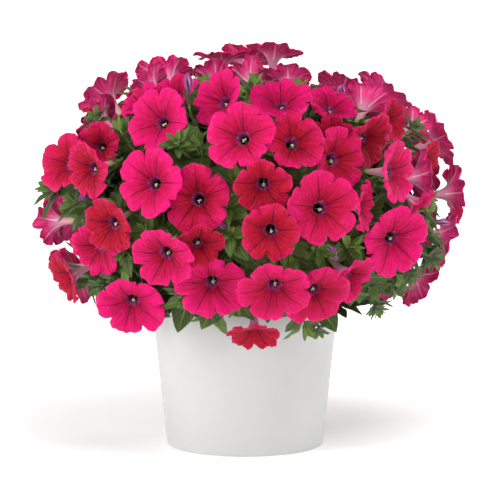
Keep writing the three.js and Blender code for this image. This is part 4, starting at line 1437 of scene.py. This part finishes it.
coreLook = {"levels": 4, "cell": 0.016, "push": 0.007, "level": 0.7}


def innerCore():
    # the heart again, finer and broken up, dark with its own shade
    core = MeshParts()
    core.add(heartPoints, heartFaces)
    piece = core.make("innerLeafage", [innerGreen])
    finer = piece.modifiers.new("finer", "SUBSURF")
    finer.subdivision_type = "SIMPLE"
    finer.levels = coreLook["levels"]
    finer.render_levels = coreLook["levels"]
    crumple = bpy.data.textures.new("crumpledLeafage", "VORONOI")
    crumple.noise_scale = coreLook["cell"]
    push = piece.modifiers.new("crumpled", "DISPLACE")
    push.texture = crumple
    push.strength = coreLook["push"]
    push.mid_level = coreLook["level"]
    return piece


corePiece = innerCore()

# the main stems: one in the middle and a ring round it
stemLook = {"ring": 38, "count": 6, "start": -0.75, "radii": [3.6, 3.5, 3.3, 3.2, 3.2], "into": 12,
            "soilTop": 157, "sunk": 20}
for k in range(stemLook["count"] + 1):
    angle = 2 * math.pi * (k + stemLook["start"]) / stemLook["count"]
    ring = stemLook["ring"] if k else 0
    foot = ringPoint(ring, angle, stemLook["soilTop"] - stemLook["sunk"])
    head = ringPoint(ring, angle, plant["heart"][0][1] + stemLook["into"])
    tubeParts(shootStems, bend(foot, skyward, head, skyward, steps=4), stemLook["radii"], sides=12)
stemPiece = shootStems.make("stems", [stemGreen])

budLook = {
    "tube": 0.5, "flare": 0.3, "full": 0.75, "tip": 0.35, "folds": 5, "deep": 0.3, "twist": 1.3,
    "twistRun": 6, "rings": 24, "columns": 40, "crumple": 0.3, "crumpleFine": 2.2, "crumpleLong": 5,
    "stout": 1.15,
    "foldsFrom": 0.1, "foldsTo": 0.6, "foldRise": 0.3, "foldShadeDepth": 0.8, "foldShadeTo": 0.5, "foldShadeEdge": 0.2,
    "stalkTop": 1.5, "sepalTurn": 20, "sepalSpread": 0.22, "sepalAway": 0.4, "sepalLong": 13,
    "sepalShare": 0.7, "sepalWide": 0.26, "sepalTone": 0.6,
}


def budParts(parts, green, row):
    x, y, z, turn, raiseBy, length, radius = row
    look = budLook
    rings = look["rings"]
    columns = look["columns"]
    face = facing(turn, raiseBy)
    right, top, _ = axesOf(face)
    foot = Vector((x, y, z)) - face * length
    neck = foot - face * stalkLook["neck"]
    draw = drawer(int(seeds["buds"] + x + 2 * y + 3 * z))
    points = []
    fold = []
    for k in range(rings + 1):
        t = k / rings
        share = look["tube"] + (1 - look["tube"]) * smooth(look["flare"], look["full"], t)
        share *= 1 - (1 - look["tip"]) * smooth(look["full"], 1, t)
        for c in range(columns):
            angle = 2 * math.pi * c / columns
            ridge = math.cos(look["folds"] * angle + look["twist"] * look["twistRun"] * t)
            dent = noise.noise(ringPoint(look["crumpleFine"], angle, look["crumpleLong"] * t + x))
            wrinkle = look["deep"] * (ridge - look["foldRise"]) + look["crumple"] * dent
            swell = 1 + wrinkle * smooth(look["foldsFrom"], look["foldsTo"], t)
            r = radius * look["stout"] * share * swell
            points.append(circlePoint(foot + face * (length * t), right, top, r, angle))
            # painted shade: darker in the hollows between the ridges, from a little way up the bud
            foldShade = look["foldShadeDepth"] * smooth(look["foldShadeEdge"], -1, ridge)
            fold.append(foldShade * smooth(look["foldsFrom"], look["foldShadeTo"], t))
    faces = gridFaces(rings + 1, columns, closed=True)
    maps = []
    for quad in faces:
        k, c = divmod(quad[0], columns)
        maps.append([((c + across) / columns, (k + on) / rings) for across, on in quadCorners])
    faces += capFaces(rings + 1, columns)
    maps += [[(0.5, 0.0)] * columns, [(0.5, 1.0)] * columns]
    parts.add(points, faces, maps, fold=fold)
    end = onHeart(neck, -stalkLook["foot"])
    route = bend(foot, -face, end, (middlePoint - neck).normalized(), steps=7)
    radii = [look["stalkTop"]] + [stalkLook["radius"]] * (len(route) - 1)
    tubeParts(green, route, radii, slot=1, tone=stalkLook["tone"])
    for k in range(lobeCount):
        away = between(right, top, math.radians(lobeTurn * k + look["sepalTurn"]))
        along = (face + away * look["sepalSpread"]).normalized()
        sky = (away - face * look["sepalSpread"]).normalized()
        bladeParts(green, foot + away * (radius * look["sepalAway"]), along, sky,
                   min(look["sepalLong"], length * look["sepalShare"]), look["sepalWide"],
                   look["sepalTone"], draw)


buds = MeshParts()
budGreen = MeshParts()
for row in budPlaces:
    budParts(buds, budGreen, row)
budPiece = buds.make("furledBuds", [budPurple])
budGreenPiece = budGreen.make("budStalks", [leafGreen, stemGreen], "leafMap")
for piece in (leafPiece, corePiece, stemPiece, budPiece, budGreenPiece):
    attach(piece, "root")
    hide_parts("foliage")

# The pot: one turned shell with softened edges and four drain holes.
potLook = {
    "top": 100, "foot": 81.5, "height": 175, "wall": 3, "floor": 4, "sides": 128,
    "base": (20, 70),         # rings on the flat base
    "footRound": 2, "footSteps": 6, "lipSteps": 8,
    "outside": (10, 40, 70, 100, 130, 160, 171),
    "inside": (165, 130, 90, 50, 20, 8),
    "floorRound": 2.5,
    "floorRings": (60, 20),
    "holes": 4, "holeRadius": 5, "holeRing": 45, "holeSides": 32, "drillFrom": -5, "drillTo": 10,
}


def arc(turn, steps):
    return [math.radians(turn * k / steps) for k in range(steps + 1)]


def potOuter(z):
    slope = (potLook["top"] - potLook["foot"]) / potLook["height"]
    return potLook["foot"] + slope * z


def turned(profile, sides, unevenFrom=None, uneven=None):
    # points and faces of a profile turned round the pot's axis, closed at both ends
    points = []
    for ring, (radius, height) in enumerate(profile):
        for i in range(sides):
            rise = uneven() if uneven and ring >= unevenFrom else 0
            points.append(ringPoint(radius, 2 * math.pi * i / sides, height + rise))
    return points, gridFaces(len(profile), sides, closed=True) + capFaces(len(profile), sides)


def potProfile():
    look = potLook
    soft = look["footRound"]
    lip = look["wall"] / 2
    profile = [(radius, 0) for radius in look["base"]]
    for angle in arc(90, look["footSteps"]):
        profile.append((potOuter(soft) - soft + soft * math.sin(angle), soft - soft * math.cos(angle)))
    profile += [(potOuter(z), z) for z in look["outside"]]
    middle = potOuter(look["height"]) - lip
    for angle in arc(180, look["lipSteps"]):
        profile.append((middle + lip * math.cos(angle), look["height"] - lip + lip * math.sin(angle)))
    profile += [(potOuter(z) - look["wall"], z) for z in look["inside"]]
    floor = look["floor"]
    profile.append((potOuter(floor) - look["wall"] - look["floorRound"], floor))
    return profile + [(radius, floor) for radius in look["floorRings"]]


def cleanApply(piece):
    # the modifiers' result becomes the piece's own mesh
    graph = bpy.context.evaluated_depsgraph_get()
    mesh = bpy.data.meshes.new_from_object(piece.evaluated_get(graph), depsgraph=graph)
    piece.modifiers.clear()
    piece.data = mesh


print("turning the pot")
potParts = MeshParts()
potParts.add(*turned(potProfile(), potLook["sides"]))
potPiece = potParts.make("plasticPot", [potWhite])
cutters = MeshParts()
for k in range(potLook["holes"]):
    angle = 2 * math.pi * (k + 0.5) / potLook["holes"]
    ends = [ringPoint(potLook["holeRing"], angle, potLook[end]) for end in ("drillFrom", "drillTo")]
    tubeParts(cutters, ends, [potLook["holeRadius"]] * 2, potLook["holeSides"])
cutter = cutters.make("drainHoles", [potWhite])
drill = potPiece.modifiers.new("drainHoles", "BOOLEAN")
drill.object = cutter
drill.solver = "EXACT"
bpy.context.view_layer.update()
cleanApply(potPiece)
bpy.data.objects.remove(cutter)
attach(potPiece, "root")
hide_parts("pot")

print("filling the soil")
soilLook = {"below": 18, "low": 4.3, "gap": 0.6, "sideRings": (60, 120), "brim": 3, "sides": 96,
            "rings": 15, "settled": 0.985, "rise": 1.2, "dome": 1.6, "crumb": 1.6,
            "chips": 160, "chipRing": 88, "chipRise": 2.2, "chipLong": 1.6, "chipLongSway": 2.4,
            "chipWide": 1.2, "chipWideSway": 1.6}


def soilMesh():
    look = soilLook
    top = potLook["height"] - look["below"]

    def inside(z):
        return potOuter(z) - potLook["wall"] - look["gap"]

    draw = drawer(seeds["soil"])
    rings = [(inside(z), z) for z in (look["low"], *look["sideRings"], top - look["brim"])]
    sideCount = len(rings)
    for k in range(look["rings"]):
        share = 1 - k / look["rings"]
        height = top + look["rise"] + look["dome"] * (1 - share)
        rings.append((inside(top) * share * look["settled"], height))
    parts = MeshParts()
    parts.add(*turned(rings, look["sides"], sideCount, lambda: look["crumb"] * (draw() - 0.5)))
    for _ in range(look["chips"]):        # loose crumbs and chips on top
        angle = draw() * 2 * math.pi
        spot = ringPoint(look["chipRing"] * math.sqrt(draw()), angle, top + look["chipRise"])
        way = Vector((draw() - 0.5, draw() - 0.5, draw() - 0.5)).normalized()
        long = look["chipLong"] + look["chipLongSway"] * draw()
        ballParts(parts, spot, way, long, look["chipWide"] + look["chipWideSway"] * draw(), 0)
    return parts.make("pottingSoil", [soilBrown])


soilPiece = soilMesh()
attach(soilPiece, "root")
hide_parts("soil")

# The floor is a lit white acrylic sheet, raised all round like a shallow bowl. It glows a little under
# the pot and more further out, the same in every direction. Its sizes are in metres.
stageLook = {
    "flat": 3.2, "bend": 1.0, "bendSteps": 8, "high": 1.5, "sides": 96,
    "grain": (3.0, 2.0),
    "white": [(0.3, "f0f0f0"), (0.7, "f6f6f6")],
    "glow": (0.12, 0.75, 0.3, 0.78),      # where it starts and ends to brighten, and how strong at each
    "surface": {"Roughness": 0.9, "Specular IOR Level": 0.05, "Emission Color": (1, 1, 1, 1)},
}


def sheetPaint(tree, look):
    spots = inSpace(tree)
    grains = grain(tree, spots, *look["grain"])
    apart = addNode(tree, "ShaderNodeVectorMath", {"operation": "LENGTH", 0: spots}, "Value")
    return {"Base Color": tones(tree, grains, look["white"]),
            "Emission Strength": ranged(tree, apart, look["glow"])}


def stageSheet():
    look = stageLook
    metre = 1000
    profile = []
    for angle in arc(90, look["bendSteps"]):
        profile.append((look["flat"] + look["bend"] * math.sin(angle), look["bend"] * (1 - math.cos(angle))))
    profile.append((look["flat"] + look["bend"], look["high"]))
    points, _ = turned(profile, look["sides"])
    grid = turnedOver(gridFaces(len(profile), look["sides"], closed=True))
    sheet = MeshParts()
    sheet.add([p * metre for p in points], grid + [list(range(look["sides"]))])
    return sheet.make("litFloor", [newMaterial("litWhiteAcrylic", look, sheetPaint)])


floor = stageSheet()

# Soft light from the left and from above, a weak one from the front and one on the right edge from behind.
lightLook = {
    "keyLight": {"place": (-2.25, -1.2, 1.5), "size": 1.5, "power": 46},
    "topLight": {"place": (0.6, -1.3, 2.3), "size": 1.3, "power": 38},
    "frontLight": {"place": (-0.7, -2.6, 1.2), "size": 1.0, "power": 3},
    "edgeLight": {"place": (1.9, 0.7, 0.7), "size": 0.5, "power": 9},
}
roomLook = {"aim": (0, 0, 0.3), "white": (1, 1, 1, 1), "strength": 0.05}
scene = bpy.context.scene
scene.world = bpy.data.worlds.new("paleRoom")
scene.world.use_nodes = True
room = scene.world.node_tree.nodes["Background"]
setNode(room, {"Color": roomLook["white"], "Strength": roomLook["strength"]})


def aimed(thing, place, aim):
    thing.location = place
    thing.rotation_euler = (Vector(aim) - Vector(place)).to_track_quat("-Z", "Y").to_euler()
    scene.collection.objects.link(thing)


for name, look in lightLook.items():
    light = bpy.data.lights.new(name, "AREA")
    light.shape = "DISK"
    light.size = look["size"]
    light.energy = look["power"]
    aimed(bpy.data.objects.new(name, light), look["place"], roomLook["aim"])

# The camera stands 2.4 m away and a little above, with a long lens.
cameraLook = {"place": (0, -2.4, 0.44), "aim": (0, 0, 0.208), "lens": 170.3, "sensor": 36}
camera = bpy.data.objects.new("camera", bpy.data.cameras.new("camera"))
camera.data.sensor_width = cameraLook["sensor"]
camera.data.lens = cameraLook["lens"]
aimed(camera, cameraLook["place"], cameraLook["aim"])
scene.camera = camera
scene.view_settings.view_transform = "Standard"
scene.view_settings.look = "None"
